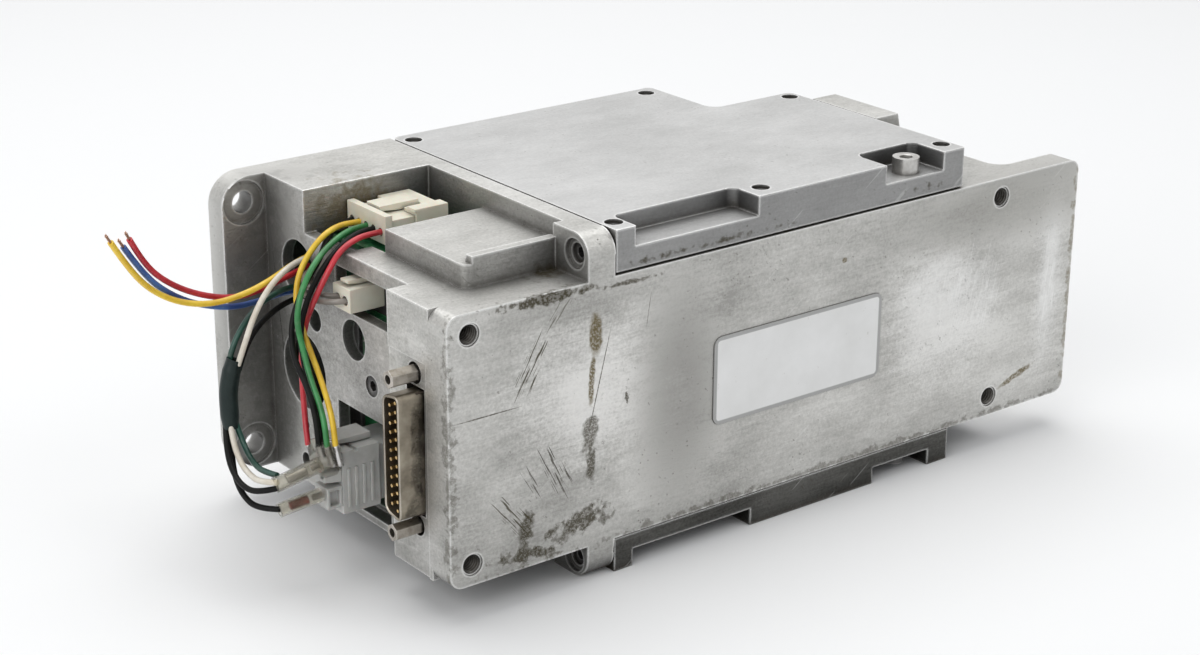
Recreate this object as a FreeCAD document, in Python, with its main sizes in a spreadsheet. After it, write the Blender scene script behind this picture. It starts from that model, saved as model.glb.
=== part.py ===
"""Servo drive: an aluminium casting with two screwed lids, its boards, connectors and loose leads.

Every piece is drawn in the mounting plate's own corner frame: X along the plate, Y from its face into
the body, Z up from its lower edge. One placement, tied to the sheet, then puts the origin under the
middle of the drive, on the surface it stands on. Lengths are millimetres.
"""
import FreeCAD, Part
import math
import os
import re
import Sketcher

V = FreeCAD.Vector
doc = FreeCAD.newDocument("servo_drive")

# ------------------------------------------------------------------ driving sizes
SIZES = {
    # mounting plate, along the front
    "plate_length": 254.0, "plate_height": 83.0, "plate_thick": 10.0, "plate_corner": 4.0,
    "plate_edge": 1.0, "tap_left": 7.5, "tap_low": 6.5, "tap_pitch_long": 210.0,
    "tap_pitch_high": 70.0, "tap_radius": 3.0, "tap_mouth": 0.5,
    # casting body
    "body_depth": 118.0, "body_length": 226.0, "wall": 4.0, "deck": 4.0, "step_left": 165.0,
    "step_depth": 84.0, "end_wall": 7.0, "end_thick": 4.0, "block_depth": 30.0, "block_wall": 3.0,
    "block_relief": 0.4, "relief_top": 66.0, "root_fillet": 6.0,
    # lids and the two levels that they reach
    "top_rise": 13.5, "bottom_drop": 11.5, "lid_left": 59.0, "lid_right": 199.4, "lid_front": 0.5,
    "lid_skin": 3.0, "lid_wall": 3.5, "lid_corner": 3.0, "seam": 0.5, "gasket_inset": 1.0,
    "gasket_width": 1.0, "post_width": 7.2, "recess_depth": 12.2, "block_left": 112.8,
    "block_right": 165.5, "clamp_depth": 15.0, "clamp_right": 190.3, "recess_corner": 3.0,
    "floor_rise": 7.4, "floor_drop": 5.9, "lid_screw_radius": 1.5, "lid_screw_head": 2.7,
    "lid_screw_sink": 3.2, "lid_screw_length": 12.0, "boss_radius": 4.5,
    # strip, lugs, roof and bay beside the top lid
    "strip_left": 52.0, "strip_gap": 0.5, "lug_left": 48.7, "lug_depth": 17.0, "lug_round": 7.0,
    "lug_hole_in": 6.6, "lug_hole_up": 6.9, "lug_hole_radius": 3.0, "lug_sink_radius": 4.6,
    "lug_sink": 1.4, "roof_front": 86.2, "bay_floor": 81.4,
    # rear mounting flange
    "flange_reach": 15.0, "flange_thick": 9.0, "flange_corner": 10.0, "flange_hole_radius": 3.5,
    "flange_pitch": 80.0, "flange_hole_in": 7.5, "spot_radius": 7.0, "spot_depth": 0.8,
    # raised block, its rim and the bar
    "raised_left": 17.0, "raised_front": 15.8, "raised_back": 57.0, "raised_rise": 7.2,
    "raised_corner": 2.7, "rim_rise": 2.2, "rim_thick": 3.2, "bar_width": 10.0, "bar_drop": 5.0,
    "bar_back": 64.0,
    # holes of the end wall: centres from the plate's corner, and radii
    "window_right": 40.5, "window_left": 69.0, "window_low": 65.0, "window_high": 78.3,
    "eye_in": 59.8, "eye_up": 56.8, "eye_radius": 6.3, "slot_in": 82.0, "slot_up": 56.5,
    "slot_radius": 3.6, "bore_in": 89.2, "bore_up": 37.8, "bore_radius": 12.3,
    "cable_in": 91.0, "cable_up": 70.3, "cable_radius": 9.2, "socket_right": 42.0,
    "socket_left": 70.0, "socket_low": 2.5, "socket_high": 34.4, "pilot_in": 89.5,
    "pilot_up": 19.8, "pilot_radius": 1.7, "drain_in": 90.3, "drain_up": 7.2, "drain_radius": 2.6,
    "stud_in": 50.6, "stud_up": 45.0, "stud_radius": 3.3,
    # ear at the right of the top lid
    "ear_left": 200.0, "ear_right": 210.5, "ear_front": 42.0, "ear_back": 73.0, "ear_round": 9.0,
    # D connector
    "dsub_in": 17.0, "dsub_up": 38.2, "dsub_pitch": 47.04, "dsub_long": 38.96, "dsub_wide": 8.36,
    "dsub_reach": 8.5, "dsub_skin": 0.5, "dsub_taper": 0.75, "pin_pitch": 2.76, "row_pitch": 2.84,
    "pin_radius": 0.5, "jack_flats": 4.75, "jack_thread": 1.4, "jack_clear": 3.3,
    "dsub_plate_long": 53.04, "dsub_plate_wide": 12.5, "dsub_plate": 1.0,
    # boards
    "board": 1.6, "control_level": 79.0, "power_level": 62.5, "board_front": 13.0,
    "board_back": 106.5, "board_notch": 161.0, "board_notch_back": 74.0,
    "control_left": 18.0, "control_right": 198.0, "power_left": 12.5, "power_right": 215.0,
    "riser_left": 20.0, "riser_back": 76.0, "riser_low": 6.0, "riser_high": 60.0,
    # five-way, two-way and grey connectors
    "five_left": 22.0, "five_front": 65.2, "five_pitch": 3.96, "five_rise": 8.4, "five_plug": 13.0,
    "five_header": 11.5, "two_left": 3.0, "two_front": 54.6, "two_rise": 7.4, "two_plug": 12.0,
    "two_header": 9.0, "grey_left": -8.0, "grey_front": 44.0, "grey_back": 60.0, "grey_low": 10.0,
    "grey_high": 30.0, "grey_plug": 13.0, "lead_radius": 0.9, "fit_gap": 0.3,
    "latch_relief": 0.7,
    # screws: lid, clamp, lug and stud
    "lid_screw_gap": 0.2, "lid_screw_rise": 2.2, "lid_screw_socket": 2.2, "screw_fit": 0.1,
    "clamp_radius": 2.5, "clamp_clear": 2.7, "cap_radius": 4.25, "cap_rise": 5.0, "cap_socket": 4.0,
    "dome_radius": 4.2, "dome_rise": 3.0, "grub_socket": 3.0,
    # pillars under the boards
    "pillar_left": 36.0, "pillar_mid": 110.0, "pillar_right": 190.0, "pillar_front": 16.0,
    "pillar_bay": 24.0, "pillar_back": 102.0, "pillar_step": 14.0, "pillar_half": 4.0,
    # fixings of the boards
    "board_hole": 1.6, "board_screw": 1.5, "board_screw_head": 2.8, "standoff_flats": 5.5,
    "bracket": 8.0,
    # parts on the boards and behind the plate
    "can_radius": 12.5, "can_height": 40.0, "can_left": 72.0, "can_front": 44.0, "can_pitch": 28.0,
    "groove": 0.9, "groove_up": 6.0, "module_left": 118.0, "module_right": 180.0,
    "module_low": 16.0, "module_high": 54.0, "module_thick": 12.0, "module_screw": 2.2,
    "module_head": 3.6, "module_screw_in": 4.0, "heat_pad": 0.8, "heat_pad_edge": 2.0,
    "ring_in": 140.0, "ring_back": 84.0, "ring_radius": 13.0, "ring_thick": 6.5,
    "shunt_long": 12.0, "shunt_wide": 6.0, "shunt_rise": 5.0, "shunt_front": 88.0,
    # moulded walls, cavities and latches of the connectors
    "five_skin": 0.9, "five_lift": 1.2, "five_cavity": 1.25, "bar_thick": 2.6, "five_thick": 2.2,
    "two_lift": 3.2, "two_wide": 9.6, "two_skin": 0.8, "two_cavity": 1.5, "two_pitch": 4.0,
    "two_thick": 1.6, "grey_thick": 1.9, "grey_groove": 1.4, "boot_long": 8.0,
    # label
    "label_left": 96.0, "label_low": 26.8, "label_long": 69.0, "label_high": 28.5,
    "label_thick": 0.4, "label_corner": 3.0,
}

sheet = doc.addObject("Spreadsheet::Sheet", "sizes")
for row, (alias, number) in enumerate(SIZES.items(), start=1):
    sheet.set(f"A{row}", alias)
    sheet.set(f"B{row}", str(number))
    sheet.setAlias(f"B{row}", alias)
doc.recompute()


def size(alias):
    """The sheet's own value of one size."""
    return float(sheet.get(alias))


# ------------------------------------------------------------------ places worked out from the sizes
ROOF = "plate_height + top_rise"
FOOT = "-bottom_drop"
ORIGIN_X = "(plate_length - dsub_reach) / 2"
ORIGIN_Y = "(body_depth - label_thick) / 2"
STRIP_RIGHT = "lid_left - strip_gap"
POWER_TOP = "power_level + board"
CONTROL_TOP = "control_level + board"
LID_SCREWS = [("lid_left + 4", "7"), ("block_left + 6.2", "7"), ("lid_right - 3.6", "7.5"),
              ("lid_left + 4.4", "body_depth - 6.2"), ("step_left - 6", "body_depth - 5.6"),
              ("lid_right - 4", "step_depth - 4.6")]
CLAMP = ("clamp_right - 10.5", "7")
PILLARS = [("pillar_left", "pillar_bay"), ("pillar_mid", "pillar_front"),
           ("pillar_right", "pillar_front"), ("pillar_left", "pillar_back"),
           ("pillar_mid", "pillar_back"), ("pillar_right", "step_depth - pillar_step")]

ALIAS = re.compile(r"[a-z][a-z_]*")


def bound(text):
    """Write a size expression so that its words point at the sheet's aliases."""
    return ALIAS.sub(lambda word: "sizes." + word.group(), text)


def tie(item, prop, text):
    item.setExpression(prop, bound(text))


AXES = {"x": V(1, 0, 0), "y": V(0, 1, 0), "z": V(0, 0, 1)}
finished = []


def subpart(item, label):
    """Name a finished sub-part and place it from the plate's corner to the drive's origin."""
    if item.TypeId in ("Part::Box", "Part::Torus"):
        item = group([item])
    item.Label = label
    tie(item, "Placement.Base.x", f"-({ORIGIN_X})")
    tie(item, "Placement.Base.y", f"-({ORIGIN_Y})")
    tie(item, "Placement.Base.z", "bottom_drop")
    finished.append(item)
    return item


# ------------------------------------------------------------------ Part primitives
def block(x, y, z):
    """A box between pairs of places along each axis."""
    item = doc.addObject("Part::Box", "block")
    for axis, side, (low, high) in zip("xyz", ("Length", "Width", "Height"), (x, y, z)):
        tie(item, side, f"({high}) - ({low})")
        tie(item, f"Placement.Base.{axis}", low)
    return item


def rod(axis, centre, radius, low, high, shape="Part::Cylinder"):
    """A round bar along one axis; centre is its place along the other two, in X, Y, Z order."""
    item = doc.addObject(shape, "rod")
    tie(item, "Radius", radius)
    tie(item, "Height", f"({high}) - ({low})")
    item.Placement = FreeCAD.Placement(V(), FreeCAD.Rotation(V(0, 0, 1), AXES[axis]))
    for name, place in zip([a for a in "xyz" if a != axis], centre):
        tie(item, f"Placement.Base.{name}", place)
    tie(item, f"Placement.Base.{axis}", low)
    return item


def hexagon(axis, centre, flats, low, high):
    """A hexagonal bar, given across its flats."""
    item = doc.addObject("Part::Prism", "hexagon")
    item.Polygon = 6
    tie(item, "Circumradius", f"({flats}) / 1.7320508")
    tie(item, "Height", f"({high}) - ({low})")
    item.Placement = FreeCAD.Placement(V(), FreeCAD.Rotation(V(0, 0, 1), AXES[axis]))
    for name, place in zip([a for a in "xyz" if a != axis], centre):
        tie(item, f"Placement.Base.{name}", place)
    tie(item, f"Placement.Base.{axis}", low)
    return item


def fused(pieces):
    if len(pieces) == 1:
        return pieces[0]
    item = doc.addObject("Part::MultiFuse", "fused")
    item.Shapes = pieces
    return item


def cut(base, tools):
    item = doc.addObject("Part::Cut", "cut")
    item.Base = base
    item.Tool = fused(tools)
    return item


def group(pieces):
    item = doc.addObject("Part::Compound", "group")
    item.Links = pieces
    return item


# ------------------------------------------------------------------ PartDesign bodies
PLANES = {"xy": ("XY_Plane", 1), "xz": ("XZ_Plane", -1), "yz": ("YZ_Plane", 1)}


def new_body(name):
    return doc.addObject("PartDesign::Body", name)


def new_sketch(body, plane, level):
    """A sketch on one of the body's origin planes, moved along the plane's axis to a level."""
    role, sign = PLANES[plane]
    sketch = body.newObject("Sketcher::SketchObject", "sketch")
    support = next(item for item in body.Origin.OriginFeatures if item.Role == role)
    sketch.AttachmentSupport = [(support, "")]
    sketch.MapMode = "FlatFace"
    tie(sketch, "AttachmentOffset.Base.z", f"{sign} * ({level})")
    return sketch


def pin_point(sketch, curve, end, place):
    """Fix one point of a curve at a place given by two expressions."""
    for kind, text in zip(("DistanceX", "DistanceY"), place):
        index = sketch.addConstraint(Sketcher.Constraint(kind, -1, 1, curve, end, 1.0))
        sketch.setExpression(f"Constraints[{index}]", bound(text))


def polygon(sketch, outline):
    """A closed outline of straight lines through places given by expressions."""
    count = len(outline)
    corner = [V(50 * math.cos(2 * math.pi * i / count), 50 * math.sin(2 * math.pi * i / count), 0)
              for i in range(count)]
    lines = [sketch.addGeometry(Part.LineSegment(corner[i], corner[(i + 1) % count]), False)
             for i in range(count)]
    for i, line in enumerate(lines):
        sketch.addConstraint(Sketcher.Constraint("Coincident", line, 2, lines[(i + 1) % count], 1))
        pin_point(sketch, line, 1, outline[i])


def circles(sketch, centres, radius):
    for centre in centres:
        ring = sketch.addGeometry(Part.Circle(V(0, 0, 0), V(0, 0, 1), 5), False)
        pin_point(sketch, ring, 3, centre)
        index = sketch.addConstraint(Sketcher.Constraint("Radius", ring, 5.0))
        sketch.setExpression(f"Constraints[{index}]", bound(radius))


def rectangle(left, right, low, high):
    return [(left, low), (right, low), (right, high), (left, high)]


def pad(body, plane, low, high, outline=None, centres=None, radius=None):
    """Add material between two levels, from an outline or from circles."""
    start = high if plane == "xz" else low
    sketch = new_sketch(body, plane, start)
    if outline:
        polygon(sketch, outline)
    else:
        circles(sketch, centres, radius)
    item = body.newObject("PartDesign::Pad", "pad")
    item.Profile = sketch
    tie(item, "Length", f"({high}) - ({low})")
    return item


def pocket(body, plane, low, high, outline=None, centres=None, radius=None):
    """Remove material between two levels, from an outline or from circles."""
    start = low if plane == "xz" else high
    sketch = new_sketch(body, plane, start)
    if outline:
        polygon(sketch, outline)
    else:
        circles(sketch, centres, radius)
    item = body.newObject("PartDesign::Pocket", "pocket")
    item.Profile = sketch
    item.Type = "Length"
    tie(item, "Length", f"({high}) - ({low})")
    return item


def round_edges(body, radius, chosen, kind="PartDesign::Fillet"):
    """Round (or chamfer) the tip's straight edges whose ends pass the test."""
    doc.recompute()
    base = body.Tip
    names = []
    for number, edge in enumerate(base.Shape.Edges, start=1):
        ends = [vertex.Point for vertex in edge.Vertexes]
        if len(ends) == 2 and isinstance(edge.Curve, Part.Line) and chosen(*ends):
            names.append(f"Edge{number}")
    item = body.newObject(kind, "rounding")
    item.Base = (base, names)
    tie(item, "Radius" if kind.endswith("Fillet") else "Size", radius)
    body.Tip = item
    return item


def near(a, b):
    return abs(a - b) < 0.01


def upright_at(*places):
    """Test for vertical edges at (x, y) places."""
    def chosen(a, b):
        if not (near(a.x, b.x) and near(a.y, b.y)):
            return False
        return any(near(a.x, x) and near(a.y, y) for x, y in places)
    return chosen


def along_y_at(*places):
    """Test for edges along Y at (x, z) places."""
    def chosen(a, b):
        if not (near(a.x, b.x) and near(a.z, b.z)):
            return False
        return any(near(a.x, x) and near(a.z, z) for x, z in places)
    return chosen


def along_x_at(*places):
    """Test for edges along X at (y, z) places."""
    def chosen(a, b):
        if not (near(a.y, b.y) and near(a.z, b.z)):
            return False
        return any(near(a.y, y) and near(a.z, z) for y, z in places)
    return chosen


# ------------------------------------------------------------------ casting
def make_casting():
    body = new_body("main_casting")
    height = "plate_height"
    pad(body, "xz", "0", "plate_thick", rectangle("0", "plate_length", "0", height))
    length, top = size("plate_length"), size("plate_height")
    round_edges(body, "plate_corner", along_y_at((0, 0), (0, top), (length, 0), (length, top)))
    # walls that stand on the plate: left block, end wall, back, step and right end
    walls = [
        ("0", "block_wall", "plate_thick", "block_depth"),
        ("0", "end_wall + end_thick", "block_depth - block_wall", "block_depth"),
        ("end_wall", "end_wall + end_thick", "block_depth - block_wall", "body_depth"),
        ("end_wall", "step_left", "body_depth - wall", "body_depth"),
        ("step_left - wall", "step_left", "step_depth - wall", "body_depth"),
        ("step_left - wall", "body_length", "step_depth - wall", "step_depth"),
        ("body_length - wall", "body_length", "plate_thick - 1", "step_depth"),
    ]
    for left, right, front, back in walls:
        pad(body, "xy", "0", height, rectangle(left, right, front, back))
    # decks above and below the two ends that the lids leave open
    ends = [("end_wall", STRIP_RIGHT, "body_depth - wall / 2"),
            ("lid_right + strip_gap", "body_length - wall / 2", "step_depth - wall / 2")]
    for left, right, back in ends:
        pad(body, "xy", "0", "deck", rectangle(left, right, "plate_thick - 1", back))
    pad(body, "xy", "plate_height - deck", height,
        rectangle("lid_right + strip_gap", "body_length - wall / 2", "plate_thick - 1",
                  "step_depth - wall / 2"))
    pad(body, "xy", "0", "deck", rectangle("0", "end_wall + end_thick", "plate_thick - 1",
                                          "block_depth"))
    # ledge behind the plate, bar along the bay's mouth and the rail beside the lid
    pad(body, "xy", "bay_floor", height, rectangle("0", "lug_left + 4", "plate_thick - 1",
                                                   "raised_front + rim_thick"))
    pad(body, "xy", "plate_height - bar_drop", height,
        rectangle("0", "raised_left", "plate_thick - 1", "block_depth"))
    pad(body, "xy", "plate_height - bar_drop", height,
        rectangle("end_wall", "end_wall + bar_width", "block_depth - block_wall", "bar_back"))
    # raised block: walls on the ledge and a roof
    raised_top = "plate_height + raised_rise"
    pad(body, "xy", "bay_floor", raised_top,
        rectangle("raised_left", "strip_left + 1", "raised_front", "raised_back"))
    pocket(body, "xy", "bay_floor", "plate_height + raised_rise - lid_skin",
           rectangle("raised_left + lid_skin", "strip_left", "raised_front + rim_thick",
                     "raised_back - lid_skin"))
    round_edges(body, "raised_corner", upright_at((size("raised_left"), size("raised_front"))))
    pad(body, "xy", "plate_height + raised_rise - 1", "plate_height + raised_rise + rim_rise",
        rectangle("raised_left + raised_corner", "lug_left + 1", "raised_front",
                  "raised_front + rim_thick"))
    # roof over the back of the bay, and its front wall
    pad(body, "xy", "plate_height - 1", ROOF,
        rectangle("end_wall", STRIP_RIGHT, "roof_front", "body_depth"))
    pad(body, "xy", "bay_floor", ROOF,
        rectangle("end_wall", STRIP_RIGHT, "roof_front", "roof_front + wall"))
    pocket(body, "xy", "0 + deck", "plate_height + top_rise - deck",
           rectangle("end_wall + end_thick", "strip_left", "roof_front + wall",
                     "body_depth - wall"))
    # strip between the bay and the lids, at the top and at the foot
    pad(body, "xy", "bay_floor", ROOF,
        rectangle("strip_left", STRIP_RIGHT, "lug_depth - 1", "body_depth"))
    pad(body, "xy", FOOT, "deck", rectangle("strip_left", STRIP_RIGHT, "lug_depth - 1",
                                            "body_depth"))
    # lugs
    for low, high in (("plate_height - 1", ROOF), (FOOT, "1")):
        pad(body, "xy", low, high, rectangle("lug_left", STRIP_RIGHT, "0", "lug_depth"))
    roof, foot = size("plate_height") + size("top_rise"), -size("bottom_drop")
    round_edges(body, "lug_round", along_x_at((0, roof), (0, foot)))
    # ear at the right of the top lid
    pad(body, "xz", "ear_front", "ear_back",
        [("ear_left", "plate_height - 1"), ("body_length - 2", "plate_height - 1"),
         ("body_length - 2", "plate_height"), ("ear_right + 5", "plate_height"),
         ("ear_right + 1.5", "plate_height + top_rise / 2"), ("ear_right", ROOF),
         ("ear_left", ROOF)])
    # pillars that carry the power board, grown from the walls
    for x, y in PILLARS:
        near_front = y in ("pillar_front", "pillar_bay")
        back = "step_depth - wall / 2" if "step" in y else "body_depth - wall / 2"
        front = ("plate_thick - 1", f"{y} + pillar_half") if near_front else (f"{y} - pillar_half", back)
        pad(body, "xy", "0", "power_level", rectangle(f"{x} - pillar_half",
                                                      f"{x} + pillar_half", *front))
    # bosses under the lid screws
    inner = [place for place in LID_SCREWS[3:]]
    for low, high in (("plate_height - lid_screw_length", height), ("0", "lid_screw_length")):
        pad(body, "xy", low, high, centres=inner, radius="boss_radius")
    # rear flange
    pad(body, "xz", "body_depth - flange_thick", "body_depth",
        rectangle("end_wall - flange_reach", "end_wall + 1", "0", ROOF))
    left = size("end_wall") - size("flange_reach")
    round_edges(body, "flange_corner", along_y_at((left, 0), (left, roof)))
    # corners of the body that show
    depth, step = size("body_depth"), size("step_depth")
    right = size("body_length")
    round_edges(body, "root_fillet", upright_at((right, size("plate_thick"))))
    round_edges(body, "wall", upright_at((right, step), (size("step_left"), depth)))
    cut_casting(body)
    return subpart(body, "main_casting")


def cut_casting(body):
    """Everything that is drilled, bored or cast open in the casting."""
    plate_holes = [(x, z) for x in ("tap_left", "tap_left + tap_pitch_long")
                   for z in ("tap_low", "tap_low + tap_pitch_high")]
    pocket(body, "xz", "-1", "plate_thick + 1", centres=plate_holes, radius="tap_radius")
    pocket(body, "xz", "-1", "tap_mouth", centres=plate_holes, radius="tap_radius + tap_mouth")
    flange_holes = [("end_wall - flange_hole_in", f"({ROOF} {sign} flange_pitch) / 2")
                    for sign in "+-"]
    front = "body_depth - flange_thick"
    pocket(body, "xz", f"{front} - 1", "body_depth + 1", centres=flange_holes,
           radius="flange_hole_radius")
    pocket(body, "xz", f"{front} - 1", f"{front} + spot_depth", centres=flange_holes,
           radius="spot_radius")
    outer, inner = "end_wall - 1", "end_wall + end_thick + 0.5"
    pocket(body, "yz", outer, "end_wall + bar_width + 1",
           rectangle("window_right", "window_left", "window_low", "window_high - 0.3"))
    pocket(body, "yz", outer, inner,
           rectangle("socket_right", "socket_left", "socket_low", "socket_high"))
    round_holes = [("eye_in", "eye_up", "eye_radius"), ("slot_in", "slot_up", "slot_radius"),
                   ("bore_in", "bore_up", "bore_radius"), ("cable_in", "cable_up", "cable_radius"),
                   ("pilot_in", "pilot_up", "pilot_radius"), ("drain_in", "drain_up", "drain_radius"),
                   ("stud_in", "stud_up", "stud_radius")]
    for y, z, radius in round_holes:
        pocket(body, "yz", outer, inner, centres=[(y, z)], radius=radius)
    # relief of the left block's end and the D connector's opening in it
    pocket(body, "yz", "-1", "block_relief",
           rectangle("plate_thick + 1", "block_depth + 1", "-1", "relief_top"))
    pocket(body, "yz", "-1", "block_wall + 0.5",
           rectangle("dsub_in - dsub_wide / 2 - fit_gap", "dsub_in + dsub_wide / 2 + fit_gap",
                     "dsub_up - dsub_long / 2 - fit_gap", "dsub_up + dsub_long / 2 + fit_gap"))
    jacks = [("dsub_in", f"dsub_up {sign} dsub_pitch / 2") for sign in "+-"]
    pocket(body, "yz", "-1", "block_wall + 0.5", centres=jacks, radius="jack_clear")
    # counterbored lugs
    lugs = [("lug_hole_in", f"{level} lug_hole_up") for level in ("plate_height +", "1.2 -")]
    pocket(body, "yz", "lug_left - 1", "lid_left + 1", centres=lugs, radius="lug_hole_radius")
    pocket(body, "yz", "lug_left - 1", "lug_left + lug_sink", centres=lugs,
           radius="lug_sink_radius")
    # threads for the lid screws and the clamp screws
    for low, high in (("plate_height - lid_screw_length", "plate_height + 1"),
                      ("-1", "lid_screw_length")):
        pocket(body, "xy", low, high, centres=LID_SCREWS, radius="lid_screw_radius")
        pocket(body, "xy", low, high, centres=[CLAMP], radius="clamp_radius")


# ------------------------------------------------------------------ lids
def lid_outline(inset):
    """The lid's outline, moved in by an inset."""
    left, right = f"lid_left + {inset}", f"lid_right - ({inset})"
    front, back = f"lid_front + {inset}", f"body_depth - ({inset})"
    notch = f"step_depth - ({inset})"
    return [(left, front), (right, front), (right, notch), (f"step_left - ({inset})", notch),
            (f"step_left - ({inset})", back), (left, back)]


def make_lid(label, seat, side, height, floor):
    """A lid whose open face is at the seat; side is + above the casting and - below it."""
    def span(a, b):
        ends = (f"{seat} {side} ({a})", f"{seat} {side} ({b})")
        return ends if side == "+" else ends[::-1]

    body = new_body(label)
    pad(body, "xy", *span("seam", height), lid_outline("0"))
    left, right = size("lid_left"), size("lid_right")
    front, back = size("lid_front"), size("body_depth")
    round_edges(body, "lid_corner", upright_at((right, size("step_depth")), (size("step_left"), back),
                                               (left, back)))
    round_edges(body, "boss_radius", upright_at((size("step_left"), size("step_depth"))))
    # two front recesses, open to the front
    recesses = [("lid_left + post_width", "block_left", "recess_depth"),
                ("block_right", "clamp_right", "clamp_depth")]
    for a, b, deep in recesses:
        pocket(body, "xy", *span(floor, f"{height} + 1"), rectangle(a, b, "lid_front - 1", deep))
    inner = [(left + size("post_width"), size("recess_depth")),
             (size("block_left"), size("recess_depth")), (size("block_right"), size("clamp_depth")),
             (size("clamp_right"), size("clamp_depth"))]
    round_edges(body, "recess_corner", upright_at(*inner))
    # hollow underneath, which leaves the posts, the block and the screw bosses solid
    hollow = [("lid_left + lid_wall", "clamp_depth + lid_wall"),
              ("lid_right - lid_wall", "clamp_depth + lid_wall"),
              ("lid_right - lid_wall", "step_depth - 10"),
              ("step_left - 12", "step_depth - 10"),
              ("step_left - 12", "body_depth - 12"),
              ("lid_left + lid_wall", "body_depth - 12")]
    pocket(body, "xy", *span("seam - 1", f"{height} - lid_skin"), hollow)
    for places, radius, sunk in ((LID_SCREWS, "lid_screw_radius + lid_screw_gap", "0"),
                                 (LID_SCREWS, "lid_screw_head + screw_fit", f"{height} - lid_screw_sink"),
                                 ([CLAMP], "clamp_clear", "0")):
        pocket(body, "xy", *span(sunk, f"{height} + 1"), centres=places, radius=radius)
    return subpart(body, label)


def make_gasket(label, seat, side):
    """A flat seal that fills the seam, a little inside the lid's edge."""
    ends = (seat, f"{seat} {side} seam")
    low, high = ends if side == "+" else ends[::-1]
    body = new_body(label)
    pad(body, "xy", low, high, lid_outline("gasket_inset"))
    pocket(body, "xy", f"{low} - 0.2", f"{high} + 0.2",
           lid_outline("gasket_inset + gasket_width"))
    return subpart(body, label)


def make_lid_screws(label, seat, side, height):
    """Six sunk socket screws, head below the lid's face."""
    def span(a, b):
        ends = (f"{seat} {side} ({a})", f"{seat} {side} ({b})")
        return ends if side == "+" else ends[::-1]

    screws = []
    for centre in LID_SCREWS:
        under = f"{height} - lid_screw_sink"
        head = rod("z", centre, "lid_screw_head", *span(under, f"{under} + lid_screw_rise"))
        shank = rod("z", centre, "lid_screw_radius", *span("2 - lid_screw_length", under))
        socket = hexagon("z", centre, "lid_screw_socket", *span(f"{under} + 0.9", f"{under} + 3"))
        screws.append(cut(fused([head, shank]), [socket]))
    return subpart(group(screws), label)


def make_clamp_screws():
    """The M5 socket screw of the top lid and the round-headed one of the bottom lid."""
    seat = "plate_height + floor_rise"
    head = rod("z", CLAMP, "cap_radius", seat, f"{seat} + cap_rise")
    shank = rod("z", CLAMP, "clamp_radius", "plate_height - 10", seat)
    socket = hexagon("z", CLAMP, "cap_socket", f"{seat} + 2.3", f"{seat} + cap_rise + 1")
    subpart(cut(fused([head, shank]), [socket]), "top_clamp_screw")
    low = "-floor_drop"
    dome = rod("z", CLAMP, "dome_radius", f"{low} - dome_rise", low)
    stem = rod("z", CLAMP, "clamp_radius", low, "10")
    slot = block((f"{CLAMP[0]} - 5", f"{CLAMP[0]} + 5"), (f"{CLAMP[1]} - 0.5", f"{CLAMP[1]} + 0.5"),
                 (f"{low} - dome_rise - 1", f"{low} - dome_rise + 1"))
    subpart(cut(fused([dome, stem]), [slot]), "bottom_clamp_screw")


def make_lug_screws():
    """Socket screws sunk in the two lugs, tips against the lids' corner posts."""
    screws = []
    for level in ("plate_height + lug_hole_up", "1.2 - lug_hole_up"):
        centre = ("lug_hole_in", level)
        body = rod("x", centre, "lug_hole_radius - screw_fit", "lug_left + lug_sink + 1", "lid_left")
        socket = hexagon("x", centre, "grub_socket", "lug_left", "lug_left + lug_sink + 3.5")
        screws.append(cut(body, [socket]))
    subpart(group(screws), "lug_screws")


def make_stud():
    """Screw end that shows in the end wall."""
    centre = ("stud_in", "stud_up")
    shank = rod("x", centre, "stud_radius - screw_fit", "end_wall + 0.4", "end_wall + 12")
    slot = hexagon("x", centre, "grub_socket", "end_wall", "end_wall + 2.5")
    subpart(cut(shank, [slot]), "end_wall_screw")


def make_label():
    body = new_body("label_plate")
    pad(body, "xz", "-label_thick", "0",
        rectangle("label_left", "label_left + label_long", "label_low", "label_low + label_high"))
    left, low = size("label_left"), size("label_low")
    right, high = left + size("label_long"), low + size("label_high")
    round_edges(body, "label_corner", along_y_at((left, low), (right, low), (left, high),
                                                 (right, high)))
    subpart(body, "label_plate")


# ------------------------------------------------------------------ boards
def board_outline(left, right):
    return [(left, "board_front"), (right, "board_front"),
            (right, "board_notch_back"), ("board_notch", "board_notch_back"),
            ("board_notch", "board_back"), (left, "board_back")]


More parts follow.
